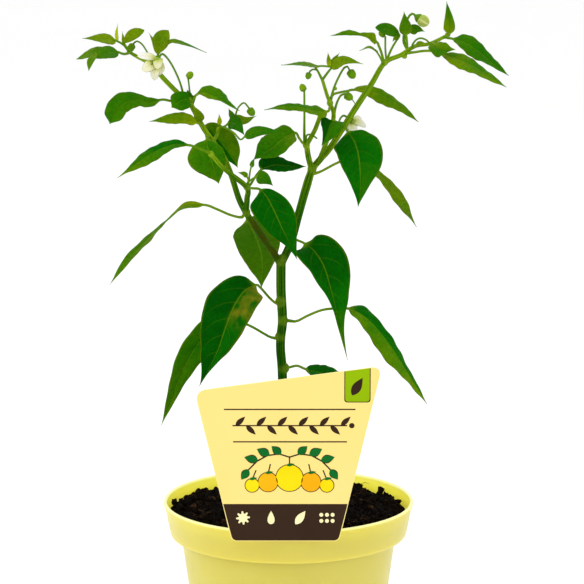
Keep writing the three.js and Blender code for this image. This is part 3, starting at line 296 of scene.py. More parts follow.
def tube(route: Route, radii: Sequence[float], around: int, step: float, tone: Spot) -> Surface:
    """Round tube along a route, with rounded ends.

    Each ring is a circle square to the route. Past each end three smaller rings follow a half ball.

    Args:
        route: the tube's middle line.
        radii: radii along it, evenly spaced and blended between.
        around: points on a ring.
        step: distance between rings.
        tone: the value "tone" of every point.

    Returns:
        The closed tube.
    """
    count = max(4, int(route.length / step) + 1)
    shares = np.linspace(0.0, 1.0, count)
    places, ways = route.at(shares)
    sizes = np.interp(shares, np.linspace(0.0, 1.0, len(radii)), radii)
    turns = np.radians([80.0, 55.0, 28.0])
    head = places[0] - ways[0] * sizes[0] * np.sin(turns)[:, None]
    tail = places[-1] + ways[-1] * sizes[-1] * np.sin(turns[::-1])[:, None]
    places = np.vstack([head, places, tail])
    ways = np.vstack([np.repeat(ways[:1], 3, axis=0), ways, np.repeat(ways[-1:], 3, axis=0)])
    sizes = np.concatenate([sizes[0] * np.cos(turns), sizes, sizes[-1] * np.cos(turns[::-1])])
    rings = rings_round(places, ways, unit(ASKEW), sizes, around)
    return Surface.skin(rings, {"tone": np.broadcast_to(np.array(tone), rings.shape)})


def turned(centre: Array, axis: Array, profile: Sequence[Pair], around: int,
           lobes: tuple[int, float] = (0, 0.0), tone: Spot = (0.0, 0.0, 0.0)) -> Surface:
    """Turned form on an axis, with its radius raised in lobes.

    A point lies at the profile's height along the axis and at the profile's radius times one plus
    the lobe depth times the cosine of the lobe count times the angle.

    Args:
        centre: where the axis has height zero.
        axis: direction of the axis.
        profile: (radius, height) from one end to the other.
        around: points on a ring.
        lobes: number of lobes and their depth.
        tone: the value "tone" of every point.

    Returns:
        The closed form.
    """
    axis = unit(axis)
    across = unit(np.cross(axis, [0.37, 0.9, 0.21]))
    other = np.cross(axis, across)
    radius, height = np.array(profile).T
    angle = circle(around)
    swell = 1.0 + lobes[1] * np.cos(lobes[0] * angle)
    out = across * np.cos(angle)[:, None] + other * np.sin(angle)[:, None]
    rings = (centre + axis * height[:, None])[:, None] + out * (radius[:, None] * swell)[..., None]
    return Surface.skin(rings, {"tone": np.broadcast_to(np.array(tone), rings.shape)})


@dataclass(frozen=True)
class Leaf:
    """A leaf, measured on the front picture.

    The stalk runs to the blade's base and the midrib on to the tip. "left" and "right" are the widths
    on either side of the midrib, one number for an outline with its full width or a list from base to
    tip. "roll" turns the upper side toward the right half at the base and at the tip, "fold" lifts both
    halves, "lobe" sweeps them back at the base and "wave" is the margin's wave. "shades" go from 0,
    dark, to 1, yellow-green, on the left and on the right half; they are partly the leaf's own tone and
    partly painted light, set lighter on leaves that light shines through from behind. "flaws" are the
    shares of brown patches on them.
    """

    name: str
    left: tuple[float, ...]
    right: tuple[float, ...]
    roll: Pair
    midrib: tuple[Spot, ...]
    stalk: tuple[Spot, ...] = ()
    fold: float = 14.0
    lobe: float = 0.1
    wave: float = 0.6
    blunt: float = 0.55
    taper: float = 1.5
    crowding: float = 1.3
    shades: Pair = (0.25, 0.25)
    flaws: Pair = (0.0, 0.0)
    crimp: float = 0.25
    quilt: float = 0.28
    tip_shade: float = 0.0


@dataclass(frozen=True)
class BladeMaker:
    """Makes leaf and petal blades as closed, thin skins round a bent middle sheet."""

    rows: int = 60
    columns: int = 24
    stalk_rows: int = 16
    stalk_radius: float = 0.62
    thickness: float = 0.15
    rib: float = 0.5
    veins: int = 7
    joint: float = 0.07
    thinnest_half: float = 0.06
    edge_crowding: float = 1.4

    @staticmethod
    def width(leaf: Leaf, widths: tuple[float, ...], u: Array) -> Array:
        """Half width at u from base to tip.

        A single width is multiplied by (u / w) to the power "blunt" times ((1 - u) / (1 - w)) to the
        power "taper", where w is the widest place, "blunt" over the sum of both. A list of widths
        starts and ends at nothing and is blended by smooth spans between rows crowded to the base.
        """
        if len(widths) == 1:
            widest = leaf.blunt / (leaf.blunt + leaf.taper)
            return widths[0] * (u / widest) ** leaf.blunt * ((1 - u) / (1 - widest)) ** leaf.taper
        knots = np.array([-0.6 * widths[0], 0.0, *widths, 0.0, 0.0])
        place = np.clip(u, 0.0, 1.0) ** (1 / leaf.crowding) * (len(widths) + 1)
        low = np.minimum(place.astype(int), len(widths))
        return np.maximum(smooth_span(knots, low, place - low)[0], 0.0)

    def surface(self, leaf: Leaf) -> Surface:
        """Works out the leaf's skin.

        Rings go round the stalk and then round the blade. A ring's point lies at its share v of the
        half width beside the midrib, lifted by the fold, the margin's waves and the swelling between
        the side veins, and half the thickness above or below that sheet.

        Args:
            leaf: the leaf's measures.

        Returns:
            The closed skin, with the values "blade" (u, v, upper side) and "tone" (shade, stalk, flaw).
        """
        route = Route(VIEW.place(leaf.stalk + leaf.midrib))
        start = route.share_of(len(leaf.stalk)) if leaf.stalk else 0.0
        before = np.linspace(0.0, start, self.stalk_rows, endpoint=False) if leaf.stalk else np.zeros(0)
        along = np.linspace(0.0, 1.0, self.rows + 1) ** leaf.crowding
        u = np.concatenate([np.zeros(len(before)), along])[:, None]
        places, ways = route.at(np.concatenate([before, start + (1 - start) * along]))
        blade = smooth_step(u / self.joint)
        front = unit(-VIEW.forward + np.outer(ways @ VIEW.forward, [1, 1, 1]) * ways)
        right = np.cross(ways, front)
        turn = np.radians(leaf.roll[0] + (leaf.roll[1] - leaf.roll[0]) * u)
        face = front * np.cos(turn) + right * np.sin(turn)
        side = np.cross(ways, face)

        spread = np.linspace(-1.0, 1.0, self.columns + 1)
        over = np.sign(spread) * np.abs(spread) ** self.edge_crowding
        v = np.concatenate([over, over[-2:0:-1]])[None, :]
        top = np.concatenate([np.ones(self.columns + 1), -np.ones(self.columns - 1)])[None, :]
        hand = np.sign(v)
        stalk_size = self.stalk_radius * (1.0 + 0.5 * (1 - smooth_step(np.arange(len(u)) / 4.0)))[:, None]
        least = stalk_size * (1 - smooth_step(u / 0.25)) + self.thinnest_half * blade
        half = np.where(v < 0, self.width(leaf, leaf.left, u), self.width(leaf, leaf.right, u))
        half = np.maximum(half, least)
        reach = np.abs(v) * half
        lift = math.radians(leaf.fold) * blade
        length = route.length * (1 - start)
        ripple = leaf.wave * v**2 * np.sin(np.pi * (3 * u + 0.4 * hand)) * np.minimum(1.0, half / 3)
        crimp = leaf.crimp * np.abs(v) ** 3 * np.sin(2 * np.pi * (6.3 * u + 0.35 * hand + leaf.fold))
        veins = self.veins * (u - VEIN_SLANT * np.abs(v) - VEIN_ARCH * v**2) + VEIN_STAGGER * hand
        swell = leaf.quilt * (0.5 - 0.5 * np.cos(2 * np.pi * veins)) * np.abs(v) ** 0.6 * (1 - v**4)
        back = np.minimum(leaf.lobe * v**2 * half * (1 - u) ** 3, 0.25 * length)
        height = (reach * np.sin(lift) - 0.12 * v**2 * half * blade
                  + (ripple + (crimp + swell) * np.minimum(1.0, half / 5)) * blade)
        normal = face[:, None] * np.cos(lift)[..., None] - side[:, None] * (hand * np.sin(lift))[..., None]
        depth = stalk_size * (1 - blade) + self.thickness * blade
        thick = depth * np.sqrt(np.maximum(0.0, 1 - v**2))
        ridge = self.rib * (1 - u) ** 0.6 * blade * np.exp(-((reach / 0.5) ** 2))
        groove = 0.14 * blade * (1 - u) * np.exp(-((reach / 0.4) ** 2))
        offset = np.where(top > 0, thick - groove, -thick - ridge)
        points = (places[:, None] + side[:, None] * (hand * reach * np.cos(lift))[..., None]
                  + face[:, None] * height[..., None] - ways[:, None] * (back * blade)[..., None]
                  + normal * offset[..., None])
        middle = smooth_step((v + 0.12) / 0.24)
        # shades: partly the leaf's own tone, partly painted light where a leaf is lit through from behind
        shade = leaf.shades[0] * (1 - middle) + leaf.shades[1] * middle
        pale_base = 0.8 if leaf.stalk else 0.3
        shade = shade + leaf.tip_shade * u**2 + pale_base * np.maximum(0.0, shade - 0.3) * (1 - u) ** 3
        spoilt = np.maximum(smooth_step((0.5 - u) / 0.2), smooth_step((np.abs(v) - 0.88) / 0.08))
        flaw = (leaf.flaws[0] * (1 - middle) + leaf.flaws[1] * middle) * spoilt
        flat = np.ones_like(shade)
        values = {
            "blade": np.stack([u * flat, v * flat, (top > 0) * flat], axis=-1),
            "tone": np.stack([shade, (1 - blade) * flat, flaw], axis=-1),
        }
        return Surface.skin(points, values)


def srgb(red: float, green: float, blue: float) -> Colour:
    """Linear colour of a colour given in 0 to 255, as on a screen."""
    shares = np.array([red, green, blue]) / 255.0
    linear = np.where(shares <= 0.04045, shares / 12.92, ((shares + 0.055) / 1.055) ** 2.4)
    return (*[float(value) for value in linear], 1.0)


class Signal:
    """A number, vector or colour that varies over a surface. Numbers are reckoned by Math nodes."""

    def __init__(self, nodes: "Sockets", socket: bpy.types.NodeSocket) -> None:
        """Keeps the socket and the nodes that it belongs to."""
        self.nodes = nodes
        self.socket = socket

    def __add__(self, other: "Signal | float") -> "Signal":
        """Sum."""
        return self.nodes.math("ADD", self, other)

    def __sub__(self, other: "Signal | float") -> "Signal":
        """Difference."""
        return self.nodes.math("SUBTRACT", self, other)

    def __rsub__(self, other: float) -> "Signal":
        """Difference from a plain number."""
        return self.nodes.math("SUBTRACT", other, self)

    def __mul__(self, other: "Signal | float") -> "Signal":
        """Product."""
        return self.nodes.math("MULTIPLY", self, other)

    def held(self) -> "Signal":
        """The same result, held from 0 to 1."""
        self.socket.node.use_clamp = True
        return self


class Sockets:
    """Short ways to add nodes to a tree and to join them."""

    def __init__(self, tree: bpy.types.NodeTree) -> None:
        """Keeps the tree that nodes are added to."""
        self.tree = tree

    def node(self, kind: str, inputs: dict | None = None, **settings) -> bpy.types.Node:
        """Adds a node.

        Args:
            kind: Blender's name of the node's type.
            inputs: values or signals by input name or number.
            settings: the node's own settings.

        Returns:
            The node.
        """
        node = self.tree.nodes.new(kind)
        for key, value in settings.items():
            setattr(node, key, value)
        for key, value in (inputs or {}).items():
            if isinstance(value, Signal):
                self.tree.links.new(value.socket, node.inputs[key])
            else:
                node.inputs[key].default_value = value
        return node

    def signal(self, kind: str, inputs: dict | None = None, output: int | str = 0, **settings) -> Signal:
        """Adds a node and gives one of its outputs."""
        return Signal(self, self.node(kind, inputs, **settings).outputs[output])

    def math(self, operation: str, *values: Signal | float) -> Signal:
        """Result of a Math node."""
        return self.signal("ShaderNodeMath", dict(enumerate(values)), operation=operation)

    def mix(self, share: Signal | float, first: Signal | Colour, second: Signal | Colour,
            blend: str = "MIX") -> Signal:
        """Colour mixed from two colours."""
        return self.signal("ShaderNodeMix", {0: share, 6: first, 7: second}, 2, data_type="RGBA",
                           blend_type=blend, clamp_factor=True)

    def shaded(self, colour: Signal, share: Signal, dark: Colour, light: Colour) -> Signal:
        """Colour multiplied by another that goes from dark to light with a share."""
        return self.mix(1.0, colour, self.mix(share, dark, light), "MULTIPLY")

    def span(self, value: Signal, low: float, high: float, to_low: float = 0.0, to_high: float = 1.0,
             smooth: bool = False) -> Signal:
        """Number carried from one range to another, and held at its ends."""
        return self.signal("ShaderNodeMapRange", {0: value, 1: low, 2: high, 3: to_low, 4: to_high},
                           interpolation_type="SMOOTHSTEP" if smooth else "LINEAR", clamp=True)

    def ramp(self, value: Signal, *stops: tuple[float, tuple[int, int, int]]) -> Signal:
        """Colour from stops, each a place and a colour given in 0 to 255."""
        node = self.node("ShaderNodeValToRGB", {0: value})
        elements = node.color_ramp.elements
        while len(elements) < len(stops):
            elements.new(0.5)
        for element, (place, colour) in zip(elements, stops):
            element.position = place
            element.color = srgb(*colour)
        return Signal(self, node.outputs[0])

    def noise(self, vector: Signal, scale: Signal | float, detail: float, roughness: float = 0.55) -> Signal:
        """Noise from 0 to 1 on a vector."""
        inputs = {"Vector": vector, "Scale": scale, "Detail": detail, "Roughness": roughness}
        return self.signal("ShaderNodeTexNoise", inputs)

    def vector(self, name: str) -> Signal:
        """A point attribute as a vector."""
        return self.signal("ShaderNodeAttribute", None, "Vector", attribute_name=name)

    def numbers(self, name: str) -> tuple[Signal, ...]:
        """The three numbers of a point attribute."""
        outputs = self.node("ShaderNodeSeparateXYZ", {0: self.vector(name)}).outputs
        return tuple(Signal(self, output) for output in outputs)

    def place(self) -> Signal:
        """Object coordinates."""
        return self.signal("ShaderNodeTexCoord", None, "Object")


class SharedEffect:
    """Shader node groups that more than one finish uses, each built once."""

    built: dict[str, bpy.types.NodeTree] = {}

    @classmethod
    def put(cls, nodes: Sockets, name: str, inputs: dict[str, Signal | float], outputs: Sequence[str],
            build: Callable[..., Sequence[Signal]]) -> tuple[Signal, ...]:
        """Puts a group in a material, and builds it the first time.

        Args:
            nodes: the material's nodes.
            name: the group's name.
            inputs: values by name. The one named "Vector" is a vector, and the others are numbers.
            outputs: names of the outputs, which are all numbers.
            build: function of the group's own nodes and inputs that returns its outputs.

        Returns:
            The outputs in this material.
        """
        if name not in cls.built:
            tree = bpy.data.node_groups.new(name, "ShaderNodeTree")
            for label in inputs:
                kind = "NodeSocketVector" if label == "Vector" else "NodeSocketFloat"
                tree.interface.new_socket(label, in_out="INPUT", socket_type=kind)
            for label in outputs:
                tree.interface.new_socket(label, in_out="OUTPUT", socket_type="NodeSocketFloat")
            inner = Sockets(tree)
            entry = inner.node("NodeGroupInput")
            results = build(inner, *[Signal(inner, entry.outputs[label]) for label in inputs])
            inner.node("NodeGroupOutput", dict(zip(outputs, results)))
            cls.built[name] = tree
        group = nodes.node("ShaderNodeGroup", inputs, node_tree=cls.built[name])
        return tuple(Signal(nodes, output) for output in group.outputs)

    @classmethod
    def mottle(cls, nodes: Sockets, scale: float) -> tuple[Signal, ...]:
        """Broad and fine unevenness of a surface, both from 0 to 1, on Object coordinates."""

        def build(inner: Sockets, vector: Signal, size: Signal) -> Sequence[Signal]:
            """Two noises, the fine one on a scale seven times as close."""
            return inner.noise(vector, size, 3.0, 0.5), inner.noise(vector, size * 7.0, 5.0, 0.6)

        return cls.put(nodes, "mottle", {"Vector": nodes.place(), "Scale": scale}, ("Broad", "Fine"), build)

    @classmethod
    def venation(cls, nodes: Sockets, u: Signal, v: Signal, count: float) -> tuple[Signal, ...]:
        """Midrib, side veins and margin of a blade, each from 0 to 1.

        A side vein lies where the count times (u less the slant times v, less the arch times its
        square), with a quarter added on the right half, is whole. Lines fade toward the margin and
        the tip.
        """

        def build(inner: Sockets, u: Signal, v: Signal, count: Signal) -> Sequence[Signal]:
            """The three masks from u along the blade and v across it."""
            far = inner.math("ABSOLUTE", v)
            arch = far * VEIN_SLANT + far * far * VEIN_ARCH
            turns = (u - arch) * count + inner.math("SIGN", v) * VEIN_STAGGER
            gap = inner.math("ABSOLUTE", inner.math("FRACT", turns) - 0.5)
            line = inner.span(0.5 - gap, 0.0, 0.075, 1.0, 0.0, smooth=True)
            ends = inner.span(u, 0.02, 0.1) * inner.span(u, 0.72, 0.95, 1.0, 0.0)
            side_vein = line * inner.span(far, 0.45, 0.95, 1.0, 0.0) * ends
            midrib = (1.0 - inner.math("DIVIDE", far, inner.span(u, 0.0, 1.0, 0.06, 0.04))).held()
            return midrib, side_vein, inner.span(far, 0.9, 1.0, smooth=True)

        inputs = {"U": u, "V": v, "Count": count}
        return cls.put(nodes, "venation", inputs, ("Midrib", "Side", "Margin"), build)


@dataclass(frozen=True)
class Finish:
    """A surface finish. Each kind of finish says how its colour, roughness and relief vary."""

    name: str
    roughness: float = 0.5
    specular: float = 0.3
    relief: float = 0.0001
    glow: float = 0.0
    glow_depth: float = 0.001
    glow_reach: Spot = (1.0, 0.2, 0.1)
    emission: float = 0.0

    def paint(self, nodes: Sockets) -> dict[str, Signal]:
        """Signals by the shader's input, and by Height where the surface has relief."""
        raise NotImplementedError

    def uneven(self, nodes: Sockets, noise: Signal, low: float, high: float) -> Signal:
        """Roughness that a noise raises from "low" to "high" past the finish's own."""
        return nodes.span(noise, 0.2, 0.8, self.roughness + low, self.roughness + high)

    def material(self) -> bpy.types.Material:
        """Builds the material, or finds the one built before."""
        if self.name in bpy.data.materials:
            return bpy.data.materials[self.name]
        material = bpy.data.materials.new(self.name)
        material.use_nodes = True
        material.node_tree.nodes.clear()
        nodes = Sockets(material.node_tree)
        painted = self.paint(nodes)
        if "Height" in painted:
            bump = {"Height": painted.pop("Height"), "Distance": self.relief, "Strength": 1.0}
            painted["Normal"] = nodes.signal("ShaderNodeBump", bump)
        constants = {
            "Roughness": self.roughness, "Specular IOR Level": self.specular, "Subsurface Weight": self.glow,
            "Subsurface Scale": self.glow_depth, "Subsurface Radius": self.glow_reach,
            "Emission Strength": self.emission,
        }
        shader = nodes.signal("ShaderNodeBsdfPrincipled", {**constants, **painted})
        nodes.node("ShaderNodeOutputMaterial", {"Surface": shader})
        return material


@dataclass(frozen=True)
class FoliageFinish(Finish):
    """Green leaf or twig: veins, mottling, paler under side, brown flaws, and a paler margin that is partly
    its own colour and partly painted rim light.
    """

    glow: float = 0.06
    vein_count: float = 7.0

    def paint(self, nodes: Sockets) -> dict[str, Signal]:
        """Greens by shade, lighter along the veins, with noise on Object coordinates."""
        u, v, upper = nodes.numbers("blade")
        shade, stalk, flaw = nodes.numbers("tone")
        broad, fine = SharedEffect.mottle(nodes, 90.0)
        midrib, side_vein, margin = SharedEffect.venation(nodes, u, v, self.vein_count)
        on_blade = (1.0 - stalk).held()
        # greens by shade, which holds painted backlight on some leaves as well as their own tone
        green = nodes.ramp((shade + (broad - 0.5) * 0.34).held(), (0.0, (0, 70, 0)), (0.3, (8, 97, 0)),
                           (0.55, (58, 115, 0)), (0.8, (110, 138, 0)), (1.0, (170, 186, 18)))
        under_side = (1.0 - upper).held() * 0.35
        green = nodes.mix(under_side * on_blade, green, srgb(92, 132, 14))
        green = nodes.shaded(green, nodes.span(fine, 0.35, 0.65), (0.86, 0.86, 0.86, 1.0),
                             (1.12, 1.12, 1.08, 1.0))
        lines = (midrib * 0.42 + side_vein * 0.07).held()
        green = nodes.mix(lines * on_blade, green, srgb(122, 166, 16))
        # paler margin, partly the leaf's own colour and partly painted rim light
        green = nodes.mix(margin * 0.34 * on_blade, green, srgb(110, 160, 0))
        patches = nodes.span(nodes.noise(nodes.place(), 150.0, 4.0), 0.36, 0.6)
        green = nodes.mix(patches * flaw, green, srgb(118, 116, 16))
        twig = nodes.ramp(broad, (0.3, (84, 128, 6)), (0.7, (120, 156, 22)))
        return {
            "Base Color": nodes.mix(stalk * 0.8, green, twig),
            "Roughness": self.uneven(nodes, broad, -0.08, 0.1),
            "Height": fine * 0.35 - (midrib + side_vein).held() * 0.4,
        }


@dataclass(frozen=True)
class StemFinish(Finish):
    """Ridged green stem, brownish at the forks, paler at the knobs and the young ends, and lighter toward
    the top by a painted highlight.
    """

    def paint(self, nodes: Sockets) -> dict[str, Signal]:
        """Streaks from "streak", the direction round the stem and its height, and tints from "tone"."""
        knob, brown, young_end_and_top_highlight = nodes.numbers("tone")
        broad, fine = SharedEffect.mottle(nodes, 120.0)
        stripes = nodes.noise(nodes.vector("streak"), 1.3, 2.0, 0.6)
        # paler at thin young ends, and lighter toward the top by a painted highlight
        light = nodes.span(stripes, 0.36, 0.64, 0.05, 0.77) + young_end_and_top_highlight * 0.56
        green = nodes.ramp(light, (0.0, (8, 58, 0)), (0.45, (28, 84, 0)), (0.8, (78, 124, 2)),
                           (1.0, (128, 160, 16)))
        green = nodes.mix(knob * 0.6, green, srgb(140, 172, 40))
        green = nodes.mix(brown * 0.75, green, srgb(66, 58, 0))
        return {
            "Base Color": nodes.shaded(green, nodes.span(fine, 0.3, 0.7), (0.84, 0.84, 0.84, 1.0),
                                       (1.14, 1.14, 1.1, 1.0)),
            "Roughness": self.uneven(nodes, broad, -0.08, 0.1),
            "Height": stripes + fine * 0.25,
        }


@dataclass(frozen=True)
class PetalFinish(Finish):
    """White petal with faint veins and a yellow-green base."""

    glow: float = 0.25
    glow_depth: float = 0.0012
    glow_reach: Spot = (1.0, 1.0, 0.8)

    def paint(self, nodes: Sockets) -> dict[str, Signal]:
        """Cream white, greener toward the base and in broad patches."""
        u, v, _ = nodes.numbers("blade")
        shade, _, _ = nodes.numbers("tone")
        broad, fine = SharedEffect.mottle(nodes, 260.0)
        midrib, side_vein, margin = SharedEffect.venation(nodes, u, v, 9.0)
        green = (nodes.span(u, 0.0, 0.7, 0.85, 0.0) + shade + (broad - 0.5) * 0.4).held()
        colour = nodes.ramp(green, (0.0, (234, 232, 220)), (0.4, (220, 219, 172)), (0.75, (190, 196, 92)),
                            (1.0, (140, 168, 34)))
        lines = midrib * 0.3 + side_vein * 0.16
        colour = nodes.mix(lines, colour, srgb(196, 198, 128))
        return {
            "Base Color": nodes.mix(margin * 0.4, colour, srgb(250, 248, 240)),
            "Height": fine * 0.4 + lines,
        }


@dataclass(frozen=True)
class PlasticFinish(Finish):
    """Moulded plastic with a faint cloudiness, fine texture and scuffs, and a painted highlight on its edge.

    Its thin wall lets light through, and that light is painted: a highlight on the lip and the card's edges,
    a lighter colour on the shaded upper inside of the wall, and a faint painted glow by emission on both.
    """

    glow_depth: float = 0.006
    glow_reach: Spot = (1.0, 0.95, 0.45)
    # strength of the painted glow on edges and inside, though the plastic is no lamp
    emission: float = 0.12
    # the colours below are the painted highlight at edges, the painted light on the shaded inside, the body
    # colours and the colour of the painted glow
    edge: Colour = srgb(253, 247, 178)
    inner: Colour = srgb(255, 234, 86)
    painted_glow_colour: Colour = srgb(255, 232, 110)
    colour: Colour = srgb(226, 209, 97)
    cloudy: Colour = srgb(220, 202, 86)
    scuffs: float = 0.2
    scale: float = 22.0

    def paint(self, nodes: Sockets) -> dict[str, Signal]:
        """Two close colours mixed by broad noise, with a painted highlight at edges and painted light
        inside, duller where scuffed, and a painted glow at edges and inside.
        """
        broad, fine = SharedEffect.mottle(nodes, self.scale)
        edge, inside, _ = nodes.numbers("tone")
        colour = nodes.mix(nodes.span(broad, 0.3, 0.7), self.colour, self.cloudy)
        marks = nodes.span(fine, 0.58, 0.75) * self.scuffs
        return {
            # painted highlight at edges over painted light on the shaded inside
            "Base Color": nodes.mix(edge * 0.75, nodes.mix(inside, colour, self.inner), self.edge),
            "Roughness": (self.uneven(nodes, broad, 0.0, 0.07) + marks).held(),
            "Height": fine,
            # painted glow at edges and inside, standing in for light through the thin wall
            "Emission Color": nodes.mix(nodes.math("MAXIMUM", inside, edge), BLACK, self.painted_glow_colour),
        }


@dataclass(frozen=True)
class PrintFinish(Finish):
    """Printed ink: an even colour with a slight unevenness of the print."""

    roughness: float = 0.4
    specular: float = 0.05
    colour: Colour = srgb(50, 34, 22)
    second: Colour = srgb(56, 39, 27)

    def paint(self, nodes: Sockets) -> dict[str, Signal]:
        """Two close colours mixed by fine noise."""
        broad, fine = SharedEffect.mottle(nodes, 60.0)
        return {
            "Base Color": nodes.mix(nodes.span(broad, 0.25, 0.75), self.colour, self.second),
            "Roughness": nodes.span(fine, 0.3, 0.7, self.roughness - 0.04, self.roughness + 0.06),
        }


@dataclass(frozen=True)
class SoilFinish(Finish):
    """Dark peat with browner crumbs and fibres."""

    def paint(self, nodes: Sockets) -> dict[str, Signal]:
        """Nearly black, with brown specks, and lighter where "tone" says so."""
        light, _, _ = nodes.numbers("tone")
        broad, fine = SharedEffect.mottle(nodes, 170.0)
        brown = (nodes.span(fine, 0.48, 0.72) * 0.45 + light).held()
        colour = nodes.ramp(brown, (0.0, (8, 6, 4)), (0.35, (22, 15, 10)), (0.7, (64, 44, 28)),
                            (1.0, (140, 104, 66)))
        depth = nodes.span(broad, 0.3, 0.7, 0.6, 1.0)
        return {"Base Color": nodes.shaded(colour, depth, (0.5, 0.5, 0.5, 1.0), WHITE), "Height": fine}


@dataclass(frozen=True)
class FloorFinish(Finish):
    """White studio floor."""

    def paint(self, nodes: Sockets) -> dict[str, Signal]:
        """White with an almost invisible unevenness."""
        broad, _ = SharedEffect.mottle(nodes, 2.0)
        return {"Base Color": nodes.mix(broad, srgb(252, 252, 251), WHITE)}


class Look(Enum):
    """The finishes of the object, and of the floor that it stands on."""

    LEAF = FoliageFinish("leaf_blade", roughness=0.45, specular=0.015, relief=0.0003)
    YOUNG = FoliageFinish("young_leaf", roughness=0.45, specular=0.03, relief=0.00015, vein_count=5.0)
    STEM = StemFinish("ridged_stem", roughness=0.5, specular=0.02, relief=0.0002)
    PETAL = PetalFinish("white_petal", roughness=0.5, specular=0.2, relief=0.0001)
    POT = PlasticFinish("moulded_pot", roughness=0.3, specular=0.3, relief=0.00002, glow=0.8)
    CARD = PlasticFinish("printed_card", roughness=0.34, specular=0.3, relief=0.00001,
                         colour=srgb(246, 222, 132), cloudy=srgb(244, 218, 124), scuffs=0.08, scale=30.0)
    STAKE = PlasticFinish("moulded_stake", roughness=0.4, specular=0.3, relief=0.00003,
                          colour=srgb(240, 234, 206), cloudy=srgb(232, 224, 192))
    SOIL = SoilFinish("peat", roughness=0.9, specular=0.03, relief=0.0008)
    BROWN_INK = PrintFinish("print_brown")
    BAND_GREEN = PrintFinish("print_green", colour=srgb(146, 182, 4), second=srgb(138, 174, 2))
    LEAF_INK = PrintFinish("print_leaf", colour=srgb(16, 110, 40), second=srgb(8, 96, 34))
    YELLOW_INK = PrintFinish("print_yellow", colour=srgb(246, 222, 20), second=srgb(240, 210, 8))
    ORANGE_INK = PrintFinish("print_orange", colour=srgb(250, 180, 20), second=srgb(244, 166, 12))
    CREAM_INK = PrintFinish("print_cream", colour=srgb(250, 240, 190), second=srgb(246, 234, 178))
    FLOOR = FloorFinish("studio_floor", roughness=0.8, specular=0.1)


def add_object(name: str, data: bpy.types.ID) -> bpy.types.Object:
    """Makes an object of some data and links it to the scene."""
    thing = bpy.data.objects.new(name, data)
    bpy.context.scene.collection.objects.link(thing)
    return thing


def read_out(items: bpy.types.bpy_prop_collection, key: str, width: int = 1, kind: type = np.int32) -> Array:
    """One property of each of a mesh's items, in one flat array."""
    values = np.zeros(len(items) * width, kind)
    items.foreach_get(key, values)
    return values


def make_piece(name: str, surface: Surface, look: Look, stands_for: Sequence[str] = (),
               smooth: bool = True) -> bpy.types.Object:
    """Makes a surface a finished piece that rides on the one body.

    Args:
        name: the piece's name.
        surface: its shape, in millimetres.
        look: its finish.
        stands_for: CAD nodes that it replaces.
        smooth: whether its faces are shaded smooth.

    Returns:
        The piece's object.
    """
    piece = add_object(name, surface.mesh(name, smooth))
    piece.data.materials.append(look.value.material())
    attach(piece, "root")
    if stands_for:
        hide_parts(*stands_for)
    triangles = sum(len(block) * (block.shape[1] - 2) for block in surface.faces)
    LOG.info("%s: %d triangles", name, triangles)
    return piece


def dress_node(node: str, parts: Sequence[Surface], look: Look) -> None:
    """Makes one finer piece of some surfaces, in place of a CAD node."""
    make_piece(f"{node}_fine", Surface.joined(parts), look, [node])


